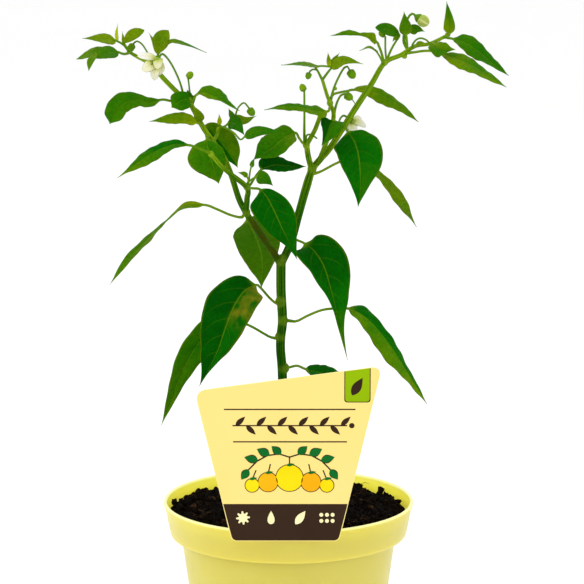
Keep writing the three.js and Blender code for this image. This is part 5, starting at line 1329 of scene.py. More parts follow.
@dataclass(frozen=True)
class Stem:
    """Trunk, branches and shoots grown together, with knobs, fine stalks and closed buds."""

    voxel: float = 0.34
    growth: float = 0.1
    samples: int = 160
    thick: tuple[Shoot, ...] = THICK_SHOOTS
    thin: tuple[Shoot, ...] = THIN_SHOOTS
    knobs: tuple[tuple[float, float, float, float], ...] = KNOBS
    brown_spots: tuple[Spot, ...] = ((272, 251, -3), (263, 238, -5), (254, 225, -7))
    buds: tuple[Bud, ...] = (
        Bud(((340.3, 96, 9), (344.5, 93.8, 10)), (348.4, 96.4, 10), 2.0, 0.62, cup=0.45),
        Bud(((344, 68, 6), (347.4, 66.6, 6)), (351.6, 73.8, 6), 2.1, 0.5, cup=0.0),
        Bud(((304.4, 98, 7.6), (304.3, 91.5, 8)), (302.8, 88, 8), 1.7, 0.85, cup=0.5),
    )

    def grown(self) -> Surface:
        """Thick shoots and knobs merged to one skin.

        The tubes and balls are remeshed on a fine lattice, and the skin is relaxed so that the
        forks and knobs run into one another. They are grown first by what the relaxing takes off.

        Returns:
            The merged skin in millimetres.
        """
        parts = [shoot.surface(20, 1.0, self.growth, (0.0, 0.0, 0.0)) for shoot in self.thick]
        for *spot, radius in self.knobs:
            turns = np.linspace(0.06, np.pi - 0.06, 9)
            ball = np.stack([np.sin(turns), -np.cos(turns)], axis=1) * (radius + self.growth)
            parts.append(turned(VIEW.place([spot])[0], UP, ball, 14))
        mesh = Surface.joined(parts).mesh("stem_rough")
        rough = add_object("stem_rough", mesh)
        remesh = rough.modifiers.new("grow", "REMESH")
        remesh.mode = "VOXEL"
        remesh.voxel_size = self.voxel * MM
        relax = rough.modifiers.new("relax", "SMOOTH")
        relax.factor = 0.5
        relax.iterations = 7
        grown = rough.evaluated_get(bpy.context.evaluated_depsgraph_get()).to_mesh()
        points = read_out(grown.vertices, "co", 3, np.float32)
        corners = read_out(grown.loops, "vertex_index")
        sizes = read_out(grown.polygons, "loop_total")
        starts = np.concatenate([[0], np.cumsum(sizes)[:-1]])
        faces = [corners[starts[sizes == size][:, None] + np.arange(size)] for size in np.unique(sizes)]
        bpy.data.objects.remove(rough)
        bpy.data.meshes.remove(mesh)
        return Surface(points.reshape(-1, 3).astype(float) / MM, faces)

    def values(self, points: Array) -> dict[str, Array]:
        """Values that the stem's finish reads.

        "streak" is the direction round the nearest middle line, with the height along it, and "tone"
        holds the nearness to a knob, the brown tint at the fork and the paleness of the thin young ends,
        raised toward the top of the plant by a painted highlight.

        Args:
            points: the skin's points.

        Returns:
            The two values at each point.
        """
        shares = np.linspace(0.0, 1.0, self.samples)
        lines = [Route(VIEW.place(shoot.route)).at(shares) for shoot in self.thick]
        middles, ways = (np.vstack(kind) for kind in zip(*lines))
        runs = np.tile(shares, len(lines))
        radii = np.concatenate([np.interp(shares, np.linspace(0.0, 1.0, len(shoot.radii)), shoot.radii)
                                for shoot in self.thick])
        nearest = np.concatenate([
            np.argmin(np.linalg.norm(block[:, None] - middles[None], axis=2), axis=1)
            for block in np.array_split(points, max(1, len(points) // 2000))
        ])
        out = points - middles[nearest]
        along = ways[nearest]
        out = unit(out - along * np.sum(out * along, axis=1, keepdims=True))
        across = unit(np.cross(along, ASKEW))
        angle = np.arctan2(np.sum(out * np.cross(across, along), axis=1), np.sum(out * across, axis=1))
        streak = np.stack([3.2 * np.cos(angle), 3.2 * np.sin(angle), 2.0 * runs[nearest]], axis=1)
        knobs = np.array([VIEW.place([knob[:3]])[0] for knob in self.knobs])
        sizes = np.array([knob[3] for knob in self.knobs])
        near = np.linalg.norm(points[:, None] - knobs[None], axis=2) / sizes
        knob = np.max(np.clip(1.5 - near, 0.0, 1.0), axis=1)
        spots = VIEW.place(self.brown_spots)
        brown = np.max(np.exp(-(np.linalg.norm(points[:, None] - spots[None], axis=2) / 5.0) ** 2), axis=1)
        # thin young ends are paler; the rise with height is a painted highlight
        young = np.maximum(smooth_step((1.5 - radii[nearest]) / 0.8), smooth_step((points[:, 2] - 232) / 60))
        return {"streak": streak, "tone": np.stack([knob, brown, young], axis=1)}

    def build(self) -> None:
        """Makes the stem, and its fine stalks and buds, in place of the node."""
        grown = self.grown()
        grown.values = self.values(grown.points)
        dress_node("stem", [grown], Look.STEM)
        parts = [shoot.surface(12, 0.8, 0.0, (0.4, 0.8, 0.0)) for shoot in self.thin]
        for bud in self.buds:
            parts += bud.surfaces()
        make_piece("stem_buds", Surface.joined(parts), Look.YOUNG)


@dataclass(frozen=True)
class Petal:
    """One petal from base to tip, measured on the front picture."""

    route: tuple[Spot, ...]
    halves: Pair
    roll: Pair = (0.0, 0.0)
    fold: float = 10.0
    shade: float = 0.0
    taper: float = 0.55

    def leaf(self) -> Leaf:
        """The petal as a blade."""
        return Leaf("petal", self.halves[:1], self.halves[1:], self.roll, self.route, fold=self.fold,
                    lobe=0.0, wave=0.25, blunt=0.42, taper=self.taper, shades=(self.shade, self.shade),
                    quilt=0.08, crimp=0.1)


@dataclass(frozen=True)
class Flower:
    """An open flower: petals, stamens round a style, and a cup on a bent stalk."""

    name: str
    petals: tuple[Petal, ...]
    middle: Spot
    back: Spot
    stalk: tuple[Spot, ...]

    def build(self, blades: BladeMaker) -> None:
        """Makes the flower's three pieces in place of its nodes."""
        middle, back = VIEW.place([self.middle, self.back])
        axis = unit(middle - back)
        disc = [(0.05, -0.7), (1.2, -0.5), (1.7, 0.0), (1.0, 0.4), (0.05, 0.45)]
        parts = [blades.surface(petal.leaf()) for petal in self.petals]
        parts.append(turned(middle, axis, disc, 20, (5, 0.12), (0.75, 0.0, 0.0)))
        dress_node(f"{self.name}_petals", parts, Look.PETAL)
        dress_node(f"{self.name}_stamens", self.stamens(middle, axis), Look.YOUNG)
        gap = float(np.linalg.norm(middle - back))
        cup = [(0.05, -0.2), (0.55, 0.0), (1.15, 0.25 * gap), (1.6, 0.5 * gap), (1.75, 0.72 * gap),
               (1.5, 0.78 * gap), (0.9, 0.8 * gap), (0.05, 0.8 * gap)]
        stalk = Route(np.vstack([VIEW.place(self.stalk), back, back + axis]))
        parts = [tube(stalk, (0.65, 0.5, 0.5, 0.5, 0.6), 12, 0.8, (0.1, 0.25, 0.0)),
                 turned(back, axis, cup, 24, (5, 0.1), (0.15, 0.3, 0.0))]
        dress_node(f"{self.name}_calyx", parts, Look.YOUNG)

    @staticmethod
    def stamens(middle: Array, axis: Array) -> list[Surface]:
        """Five anthers on their threads round a green style."""
        across = unit(np.cross(axis, [0.2, 0.3, 0.9]))
        other = np.cross(axis, across)
        style = Route(np.array([middle + axis * 0.6, middle + axis * 2.0, middle + axis * 3.6]))
        parts = [tube(style, (0.45, 0.3, 0.32), 8, 0.4, (0.7, 0.0, 0.0))]
        anther = [(0.05, -0.75), (0.3, -0.6), (0.42, 0.0), (0.34, 0.5), (0.05, 0.75)]
        for k in range(5):
            angle = 2 * math.pi * (k + 0.3) / 5
            out = across * math.cos(angle) + other * math.sin(angle)
            foot, head = middle + axis * 0.6 + out * 0.7, middle + axis * 2.3 + out * 1.2
            thread = Route(np.array([foot, (foot + head) / 2, head]))
            parts.append(tube(thread, (0.18, 0.16), 6, 0.5, (0.9, 0.0, 0.0)))
            parts.append(turned(head, axis + out * 0.35, anther, 8, (2, 0.15), (0.95, 0.0, 0.0)))
        return parts


FLOWERS = (
    Flower(
        "flower_left", middle=(155, 61, -4), back=(159.6, 56.5, 0),
        petals=(
            Petal(((156, 58.5, -3.5), (148, 56, -5.5), (137.4, 56, -6.5)), (2.2, 1.9), (20, 20)),
            Petal(((155, 60, -4), (149, 66, -7.5), (142.2, 70.8, -8.5)), (3.0, 2.9), (0, 10), shade=0.28),
            Petal(((156, 62, -4.5), (155, 71, -6.5), (154.2, 80.5, -5.5)), (2.4, 2.3), (0, 0), shade=0.26),
            Petal(((158, 60, -3), (161, 67.5, -3.5), (159.4, 75, -4)), (2.3, 2.5), (30, 30), shade=0.26),
            Petal(((157.5, 58.5, -4), (158, 62, -7.5), (157, 69, -9)), (2.5, 2.5), (0, 0), shade=0.4),
        ),
        stalk=((184, 97.5, 5), (180.5, 84, 5), (175.3, 71.4, 4.5), (170.2, 62.2, 3.6), (165.4, 56, 2.6),
               (162, 54, 1.2)),
    ),
    Flower(
        "flower_right", middle=(352, 121.5, 30), back=(347.5, 117.5, 29),
        petals=(
            Petal(((353, 121, 30), (359, 122.5, 28), (366, 127.3, 27)), (2.0, 2.0), (-20, -20), shade=0.1),
            Petal(((353, 120.5, 30.5), (357.5, 118.5, 31.5), (361.5, 120.5, 32.5)), (1.6, 1.6), (0, 0)),
            Petal(((352, 122, 30), (353, 127, 27.5), (356, 132.5, 26)), (2.2, 2.2), (0, 0), shade=0.15),
            Petal(((351, 122, 30), (348, 127, 29), (345.5, 131.8, 28)), (2.0, 2.0), (0, 0), shade=0.15),
            Petal(((351.5, 121, 31), (351, 126, 34), (352.5, 130.5, 36)), (2.2, 2.2), (0, 0), shade=0.1),
        ),
        stalk=((334.2, 121, 7.5), (338.5, 122, 15), (340.6, 118, 22), (343.6, 115.6, 26.6)),
    ),
)


@dataclass(frozen=True)
class OpeningBud:
    """A bud whose petals start to open, in its cup."""

    middle: Spot = (423.3, 20.9, 33.4)
    base: Spot = (415.0, 15.6, 34.6)
    radius: float = 3.0
    around: int = 40

    def build(self) -> None:
        """Makes the petals, which meet in a blunt tip with five seams, and the cup behind them."""
        middle, base = VIEW.place([self.middle, self.base])
        axis = unit(middle - base)
        turns = np.linspace(0.08, np.pi - 0.08, 22)
        ball = np.stack([np.sin(turns) * self.radius, -np.cos(turns) * self.radius * 1.08], axis=1)
        petals = turned(middle, axis, ball, self.around, (5, 0.045))
        share = np.repeat(turns / np.pi, self.around)
        seam = np.abs(np.sin(np.linspace(0.0, 5 * np.pi, self.around, endpoint=False)))
        seam = smooth_step((0.7 - seam) / 0.45)
        petals.values["tone"][:len(share), 0] = np.tile(0.96 - 0.76 * seam, len(turns))
        blade = np.zeros_like(petals.points)
        blade[:len(share), 0] = share * 0.7
        blade[-1, 0] = 0.7
        petals.values["blade"] = blade
        dress_node("bud_right_fork", [petals], Look.PETAL)
        reach = float(np.linalg.norm(middle - base))
        cup = [(0.05, -0.3), (0.7, 0.0), (1.7, 0.25 * reach), (2.2, 0.42 * reach), (2.25, 0.52 * reach),
               (1.9, 0.54 * reach), (0.05, 0.5 * reach)]
        sepals = turned(base, axis, cup, 30, (5, 0.08), (0.35, 0.4, 0.0))
        make_piece("bud_right_fork_cup", sepals, Look.YOUNG)


def softened(corners: Array, reach: float, steps: int) -> Array:
    """Open line with its inner corners replaced by quadratic arcs.

    Args:
        corners: the sharp corners in order.
        reach: length that an arc takes off a side, but at most 0.45 of that side.
        steps: number of points on an arc.

    Returns:
        The line's points.
    """
    t = np.linspace(0.0, 1.0, steps)[:, None]
    line = [corners[:1]]
    for before, here, after in zip(corners[:-2], corners[1:-1], corners[2:]):
        near = min(reach, 0.45 * np.linalg.norm(before - here), 0.45 * np.linalg.norm(after - here))
        start, end = here + unit(before - here) * near, here + unit(after - here) * near
        line.append(start * (1 - t) ** 2 + here * 2 * t * (1 - t) + end * t**2)
    return np.vstack([*line, corners[-1:]])


def rounded(corners: Sequence[Pair], radii: Sequence[float], steps: int = 8) -> Array:
    """Closed outline with its corners replaced by quadratic arcs.

    Args:
        corners: the sharp corners in order.
        radii: distance from each corner at which its arc starts and ends.
        steps: number of steps in an arc.

    Returns:
        The outline's points.
    """
    corners = np.array(corners, float)
    before = unit(np.roll(corners, 1, axis=0) - corners) * np.array(radii)[:, None]
    after = unit(np.roll(corners, -1, axis=0) - corners) * np.array(radii)[:, None]
    t = np.linspace(0.0, 1.0, steps + 1)[None, :, None]
    arcs = (corners + before)[:, None] * (1 - t) ** 2 + corners[:, None] * 2 * t * (1 - t)
    arcs = arcs + (corners + after)[:, None] * t**2
    return arcs.reshape(-1, 2)


def plate(outline: Array, front: float, back: float, bevel: float = 0.0) -> Surface:
    """Flat plate facing the viewer, from an outline of (x, z) points.

    Its rings are the front outline drawn in by the bevel, the two edges, and the back outline drawn
    in. Drawing in moves each point along the mean of its two edges' inward normals.

    Args:
        outline: points in order, seen from any point near their mean.
        front: y of the front face.
        back: y of the back face.
        bevel: width of the bevel round both faces.

    Returns:
        The closed plate.
    """
    edge = unit(np.roll(outline, -1, axis=0) - np.roll(outline, 1, axis=0))
    inward = np.stack([-edge[:, 1], edge[:, 0]], axis=1)
    x, z = outline.T
    area = np.sum(x * np.roll(z, -1) - np.roll(x, -1) * z)
    drawn_in = outline + inward * bevel * np.sign(area)
    levels = [(drawn_in, front), (outline, front + bevel), (outline, back - bevel), (drawn_in, back)]
    return Surface.skin(np.stack([np.insert(ring, 1, y, axis=1) for ring, y in levels]))


@dataclass(frozen=True)
class Pot:
    """Round tapered nursery pot with a stepped band, a rolled lip and drain holes."""

    height: float = 100.0
    rim_radius: float = 62.1
    lip: float = 1.6
    lip_depth: float = 1.9
    lip_overhang: float = 0.6
    band_depth: float = 17.0
    band_bottom_radius: float = 58.8
    shoulder_radius: float = 53.5
    base_radius: float = 42.0
    wall: float = 1.5
    base_thickness: float = 2.2
    around: int = 180
    drain_radius: float = 3.5
    drain_circle: float = 30.0
    drain_count: int = 6
    oval: float = 0.12
    three_sided: float = 0.07

    def profile(self) -> Array:
        """Section of the wall from the middle of the base, out, over the lip and back inside."""
        band, top = self.height - self.band_depth, self.height
        rim, lip, wall = self.rim_radius, self.lip, self.wall
        foot, shoulder, step = self.base_radius, self.shoulder_radius, self.band_bottom_radius
        outside = [
            (0.5, 0), (foot - 1.2, 0), (foot, 1.2), (shoulder, band - 0.6), (shoulder + 0.6, band),
            (step - 0.6, band), (step, band + 0.7), (rim - self.lip_overhang, top - self.lip_depth - 0.3),
            (rim, top - self.lip_depth), (rim, top - 0.9), (rim - 0.35, top - 0.2), (rim - lip / 2, top),
        ]
        inside = [
            (rim - lip, top - 0.5), (rim - lip - 0.2, top - 2), (step - wall, band + wall + 1),
            (shoulder - wall, band - 1.5), (foot - wall + 0.3, self.base_thickness),
            (0.5, self.base_thickness),
        ]
        return softened(np.array(outside + inside, float), 0.7, 5)

    def tone(self, places: Array) -> Array:
        """Says for the finish where to paint a highlight on the lip and painted light on the shaded inside
        of the wall.

        Args:
            places: points of the shell, in millimetres.

        Returns:
            One row for each point: 1 on the lip for the painted highlight, 1 on the inside of the upper wall
                for the painted light, and 0.
        """
        radius, height = self.profile().T
        outside = slice(int(np.argmax(height)) + 1)
        reach, z = np.hypot(places[:, 0], places[:, 1]), places[:, 2]
        # masks for the painted highlight on the lip and the painted light on the shaded inside
        lip = smooth_step((z - self.height + 1.3) / 0.5)
        inner = reach < np.interp(z, height[outside], radius[outside]) - 0.5 * self.wall
        return np.column_stack([lip, inner * smooth_step((z - self.height / 2) / 20.0), 0 * z])

    def build(self) -> None:
        """Turns the profile, lets it wander a little from true round and cuts the drain holes."""
        angle = circle(self.around)
        radius, height = self.profile().T
        wander = self.oval * np.sin(2 * angle + 0.6) + self.three_sided * np.sin(3 * angle + 2.0)
        reach = radius[:, None] + wander * smooth_step(height / self.height)[:, None]
        shell = Surface.skin(upright(reach, angle, height[:, None]))
        pot = make_piece("pot_shell", shell, Look.POT, ["pot"])
        drills = []
        turns = circle(self.drain_count) + np.pi / self.drain_count
        for centre in upright(self.drain_circle, turns, 0.0):
            drills.append(turned(centre, UP, [(self.drain_radius, -5), (self.drain_radius, 5)], 28))
        cutter = add_object("drills", Surface.joined(drills).mesh("drills"))
        cut = pot.modifiers.new("drain", "BOOLEAN")
        cut.operation = "DIFFERENCE"
        cut.solver = "EXACT"
        cut.object = cutter
        finished = bpy.data.meshes.new_from_object(pot.evaluated_get(bpy.context.evaluated_depsgraph_get()))
        pot.modifiers.clear()
        pot.data = finished
        bpy.data.objects.remove(cutter)
        places = read_out(finished.vertices, "co", 3, np.float32)
        # tone holds the masks for the painted highlight and the painted light
        tone = finished.attributes.get("tone") or finished.attributes.new("tone", "FLOAT_VECTOR", "POINT")
        tone.data.foreach_set("vector", self.tone(places.reshape(-1, 3) / MM).astype(np.float32).ravel())


@dataclass(frozen=True)
class Soil:
    """Peat that fills the pot: a lumpy bed with loose crumbs and fibres on it."""

    pot: Pot
    below_lip: float = 4.6
    crown: float = 1.2
    lump: float = 1.1
    ripples: Spot = (20.0, 23.0, 31.0)
    cells: Spot = (6.5, 3.1, 1.5)
    gap: float = 0.35
    rings: int = 120
    around: int = 260
    crumbs: int = 1500
    clods: int = 110
    fibres: int = 320

    def height(self, spots: Array) -> Array:
        """Height of the bed over spots on the ground plane.

        It is a low crown with broad lumps, and three sizes of clods on them. The crown falls with the
        square of the distance from the middle. The broad lumps are two crossing ripples, and each size
        of clod is smooth noise with its own cell and height.
        """
        x, y = spots[..., 0], spots[..., 1]
        out = np.hypot(x, y) / self.pot.rim_radius
        across, back, slanting = self.ripples
        lumps = (np.sin(2 * np.pi * x / across + 0.9) * np.sin(2 * np.pi * y / back + 1.2)
                 + 0.7 * np.sin(2 * np.pi * (x - 0.85 * y) / slanting + 1.1))
        large, medium, small = (cloud(spots, cell, SEED + 1 + k) for k, cell in enumerate(self.cells))
        clods = 0.6 * large + 0.75 * np.abs(medium) + 0.4 * small - 0.45
        return self.pot.height - self.below_lip + self.crown * (1 - out**2) + self.lump * lumps + clods

    def wall(self, height: Array) -> Array:
        """Radius of the pot's inside at a height, less the gap."""
        band = self.pot.height - self.pot.band_depth
        levels = [self.pot.base_thickness, band - 1.5, band + self.pot.wall + 1, self.pot.height - 2]
        inner = [self.pot.base_radius - self.pot.wall + 0.3, self.pot.shoulder_radius - self.pot.wall,
                 self.pot.band_bottom_radius - self.pot.wall, self.pot.rim_radius - self.pot.lip - 0.2]
        return np.interp(height, levels, inner) - self.gap

    def bed(self) -> Surface:
        """The plug of soil, from its floor up the wall and over the top to the middle."""
        angle = circle(self.around)
        low = self.pot.base_thickness + self.gap
        band = self.pot.height - self.pot.band_depth
        levels = (low, band - 1.5, band + self.pot.wall + 1.5, self.pot.height - self.below_lip - 4.5)
        sides = [upright(self.wall(level), angle, level) for level in levels]
        edge = self.wall(self.pot.height - self.below_lip - 2.0)
        radius = edge * np.linspace(1.0, 0.01, self.rings)[:, None]
        top = upright(radius, angle, 0.0)
        top[..., 2] = self.height(top) - 2.2 * smooth_step((radius / edge - 0.93) / 0.07)
        return Surface.skin(np.concatenate([np.stack(sides), top]))

    def scattered(self, count: int, seed: int, spread: float = 0.97) -> tuple[Array, np.random.Generator]:
        """Places spread evenly over the bed, with the generator for further draws."""
        draw = np.random.default_rng(seed)
        angle = draw.uniform(0, 2 * np.pi, count)
        radius = self.wall(self.pot.height - self.below_lip) * spread * np.sqrt(draw.uniform(0, 1, count))
        places = upright(radius, angle, 0.0)
        places[:, 2] = self.height(places)
        return places, draw

    def loose_crumbs(self) -> Surface:
        """Crumbs and a few larger clods: balls of four rings of six, pulled out of shape and turned."""
        places, draw = self.scattered(self.crumbs, SEED + 10, 0.965)
        sizes = np.minimum(draw.gamma(2.2, 0.34, self.crumbs) + 0.35, 1.7)
        sizes[:self.clods] = draw.uniform(1.7, 2.9, self.clods)
        turns = np.linspace(0.5, np.pi - 0.5, 4)
        angle = circle(6)
        ball = np.stack([np.outer(np.sin(turns), np.cos(angle)), np.outer(np.sin(turns), np.sin(angle)),
                         np.outer(np.cos(turns), np.ones(6))], axis=-1)
        shapes = ball[None] * draw.uniform(0.55, 1.35, (self.crumbs, 4, 6, 1))
        shapes = shapes * draw.uniform(0.55, 1.2, (self.crumbs, 1, 1, 3)) * sizes[:, None, None, None]
        axes = np.linalg.qr(draw.normal(size=(self.crumbs, 3, 3)))[0]
        shapes = np.einsum("nij,nrsj->nrsi", axes, shapes)
        places[:, 2] += 0.05 * sizes
        light = np.clip(draw.normal(0.12, 0.16, self.crumbs), 0.0, 0.75)
        parts = [Surface.skin(shape + place, {"tone": np.broadcast_to([tone, 0.0, 0.0], shape.shape)})
                 for shape, place, tone in zip(shapes, places, light)]
        return Surface.joined(parts)

    def loose_fibres(self) -> Surface:
        """Fibres: thin bent tubes of four sides lying on the bed or standing out of it."""
        places, draw = self.scattered(self.fibres, SEED + 20, 0.94)
        parts = []
        for place in places:
            way = draw.uniform(0, 2 * np.pi)
            flat = np.array([math.cos(way), math.sin(way), 0.0])
            length = draw.uniform(2.0, 7.0)
            rise = draw.uniform(-0.05, 0.35) * length
            bend = np.cross(flat, UP) * draw.normal(0.0, 0.22) * length
            crest = place + flat * length * 0.5 + bend + UP * (0.35 + rise * 0.7)
            route = Route(np.array([place - flat * 0.5, crest, place + flat * length + UP * rise]))
            thick = draw.uniform(0.1, 0.24)
            shares = np.linspace(0.0, 1.0, 6)
            size = thick * np.sqrt(np.clip(np.sin(np.pi * (0.12 + 0.8 * shares)), 0.05, 1.0))
            rings = rings_round(*route.at(shares), UP + 0.01, size, 4)
            tone = (float(np.clip(draw.normal(0.4, 0.22), 0.05, 1.0)), 0.0, 0.0)
            parts.append(Surface.skin(rings, {"tone": np.broadcast_to(tone, rings.shape)}))
        return Surface.joined(parts)

    def build(self) -> None:
        """Makes the bed in place of the node, and the loose pieces on it."""
        make_piece("soil_bed", self.bed(), Look.SOIL, ["soil"])
        make_piece("soil_crumbs", self.loose_crumbs(), Look.SOIL, smooth=False)
        make_piece("soil_fibres", self.loose_fibres(), Look.SOIL)


Print = tuple[Look, int, Array]


@dataclass(frozen=True)
class Label:
    """Tapered plant label with a printed face, and the stake that carries it."""

    pot: Pot
    top_left: Pair = (-44.5, 169.4)
    top_right: Pair = (44.6, 181.6)
    bottom_right: Pair = (24.3, 95.8)
    bottom_left: Pair = (-27.0, 95.8)
    thickness: float = 0.8
    clearance: float = 0.3
    ink: float = 0.05
    band_top: float = 114.2
    upper_rule: float = 160.5
    lower_rule: float = 144.7

    @property
    def back(self) -> float:
        """y of the card's back face."""
        return -(self.pot.rim_radius + self.clearance)

    @property
    def face(self) -> float:
        """y of the card's printed face."""
        return self.back - self.thickness

    def edge_x(self, height: float, right: bool) -> float:
        """x of the card's slanting edge at a height."""
        low, high = (self.bottom_right, self.top_right) if right else (self.bottom_left, self.top_left)
        return low[0] + (high[0] - low[0]) * (height - low[1]) / (high[1] - low[1])

    def film(self, outline: Array, layer: int) -> Surface:
        """An inked shape, a film standing on the card or on the layers under it."""
        return plate(outline, self.face - self.ink * layer, self.face + 0.02)

    @staticmethod
    def leaf_outline(base: Pair, tip: Pair, width: float, count: int = 9) -> Array:
        """Leaf outline: its half width is a sine of the share of its length, sharpened at the tip."""
        base, tip = np.array(base, float), np.array(tip, float)
        t = np.linspace(0.0, 1.0, count)[1:-1]
        half = width / 2 * np.sin(np.pi * t**0.8)
        way = tip - base
        side = unit(np.array([-way[1], way[0]]))
        left = base + t[:, None] * way + half[:, None] * side
        right = base + t[:, None] * way - half[:, None] * side
        return np.vstack([base, left, tip, right[::-1]])

    @staticmethod
    def disc(centre: Pair, radius: float | Array, count: int = 28) -> Array:
        """Round outline, or a star where there is a radius for each point."""
        angle = circle(count)
        return np.array(centre) + radius * np.stack([np.cos(angle), np.sin(angle)], axis=1)

    @staticmethod
    def bar(start: Pair, end: Pair, width: float) -> Array:
        """Straight line of ink."""
        start, end = np.array(start, float), np.array(end, float)
        side = unit(np.array([start[1] - end[1], end[0] - start[0]])) * width / 2
        return np.array([start + side, start - side, end - side, end + side])

    def strokes(self, points: Sequence[Pair], width: float) -> list[Array]:
        """A bent line of ink as a chain of bars with round joints."""
        bars = [self.bar(a, b, width) for a, b in zip(points[:-1], points[1:])]
        return bars + [self.disc(point, width / 2, 10) for point in points]

    def card(self) -> Surface:
        """The card itself, its edge rows marked for a painted highlight and a painted glow."""
        corners = [self.top_left, self.top_right, self.bottom_right, self.bottom_left]
        outline = rounded(corners, (6.0, 6.0, 2.5, 2.5), 10)
        card = plate(outline, self.face, self.back, 0.22)
        card.values["tone"] = np.zeros_like(card.points)
        # edge rows get the finish's painted highlight and painted glow
        card.values["tone"][len(outline):3 * len(outline), 0] = 1.0
        return card

    def lines(self) -> list[Print]:
        """Band at the foot, rules, and the ornament of small leaves between the rules."""
        corners = [(self.edge_x(self.band_top, False) + 0.35, self.band_top),
                   (self.edge_x(self.band_top, True) - 0.35, self.band_top),
                   (self.bottom_right[0] - 0.4, self.bottom_right[1] + 0.4),
                   (self.bottom_left[0] + 0.4, self.bottom_left[1] + 0.4)]
        upper, lower = self.upper_rule, self.lower_rule
        middle = (upper + lower) / 2
        shapes = [rounded(corners, (0.05, 0.05, 2.3, 2.3)), self.bar((-30.5, upper), (31.9, upper), 0.62),
                  self.bar((-26.2, lower), (27.9, lower), 0.62),
                  self.bar((-26.5, middle), (28.0, middle), 0.6)]
        for k in range(11):
            x, rise = -25.0 + 5.0 * k, -4.4 if k % 2 else 4.4
            shapes.append(self.leaf_outline((x, middle), (x + 4.6, middle + rise), 2.5))
        shapes.append(self.disc((30.2, middle), 1.3))
        return [(Look.BROWN_INK, 1, shape) for shape in shapes]

    def tab(self) -> list[Print]:
        """Green tab in the upper right corner, its dark outline and a small plain leaf on it."""
        low, left, right = 164.3, 27.0, 38.6

        def outline(grow: float) -> Array:
            """Outline of the tab, grown on three sides."""
            slope = (self.top_right[1] - self.top_left[1]) / (self.top_right[0] - self.top_left[0])
            top = [self.top_left[1] + slope * (x - self.top_left[0]) - 0.25 for x in (left, right)]
            corners = [(left - grow, top[0]), (right + grow, top[1]), (right + grow, low - grow),
                       (left - grow, low - grow)]
            return rounded(corners, (0.05, 0.05, 1.6, 1.6))

        x, z = (left + right) / 2, (low + 178.5) / 2
        leaf = self.leaf_outline((x - 2.6, z - 4.0), (x + 2.4, z + 4.4), 4.4, 15)
        return [(Look.BROWN_INK, 1, outline(0.42)), (Look.BAND_GREEN, 2, outline(0.0)),
                (Look.BROWN_INK, 3, leaf)]

    def sprig(self) -> list[Print]:
        """A generic sprig: two bowed stalks from the middle, with leaves and round fruits in a row."""
        brown, green, yellow, orange = Look.BROWN_INK, Look.LEAF_INK, Look.YELLOW_INK, Look.ORANGE_INK
        prints: list[Print] = []
        middle = 0.6
        stalk = ((0.0, 137.2), (5.0, 138.8), (10.5, 138.0), (15.5, 135.2), (19.5, 131.0))
        leaves = (((4.0, 138.6), (8.5, 142.6), 3.2), ((9.5, 138.3), (15.5, 141.2), 3.6),
                  ((15.0, 135.6), (21.5, 137.2), 3.4), ((19.5, 131.2), (23.0, 126.2), 3.2))
        for hand in (-1, 1):
            bow = [(middle + hand * x, z) for x, z in stalk]
            prints += [(brown, 1, stroke) for stroke in self.strokes(bow, 0.7)]
            for *ends, width in leaves:
                ends = [(middle + hand * x, z) for x, z in ends]
                prints.append((brown, 2, self.leaf_outline(*ends, width + 0.8, 17)))
                prints.append((green, 3, self.leaf_outline(*ends, width, 17)))
        fruits = ((0.6, 127.0, 6.4, yellow), (-9.6, 125.0, 4.6, orange), (10.8, 125.0, 4.6, orange),
                  (-17.2, 123.4, 3.2, yellow), (18.4, 123.4, 3.2, yellow))
        for x, z, radius, ink in fruits:
            top = z + radius
            hanger = self.strokes([(x, top - 0.5), (x * 0.9 + 0.1, top + 4.0)], 0.6)
            prints += [(brown, 1, stroke) for stroke in hanger]
            prints += [(brown, 2, self.disc((x, z), radius + 0.38)), (ink, 3, self.disc((x, z), radius)),
                       (green, 4, self.leaf_outline((x - 1.4, top - 0.2), (x + 2.4, top + 0.4), 1.4))]
        return prints

    def pictograms(self) -> list[Print]:
        """Four plain signs in the band: a sun, a drop, a leaf and a block of dots."""
        height = 107.4
        rays = np.where(np.arange(32) % 4 < 2, 3.3, 2.1)
        sun = self.disc((-21.6, height), rays[:, None], 32)
        turn = circle(28)
        width = 2.3 * np.sin(turn) * np.sin(turn / 2) ** 1.2
        drop = np.stack([-8.2 + width, height + 0.2 + 3.3 * np.cos(turn)], axis=1)
        shapes = [sun, drop, self.leaf_outline((3.4, 104.2), (8.2, 110.8), 3.6, 15)]
        shapes += [self.disc((15.8 + 2.7 * column, height + 1.5 - 3.0 * row), 0.95, 16)
                   for column in range(3) for row in range(2)]
        return [(Look.CREAM_INK, 3, shape) for shape in shapes]

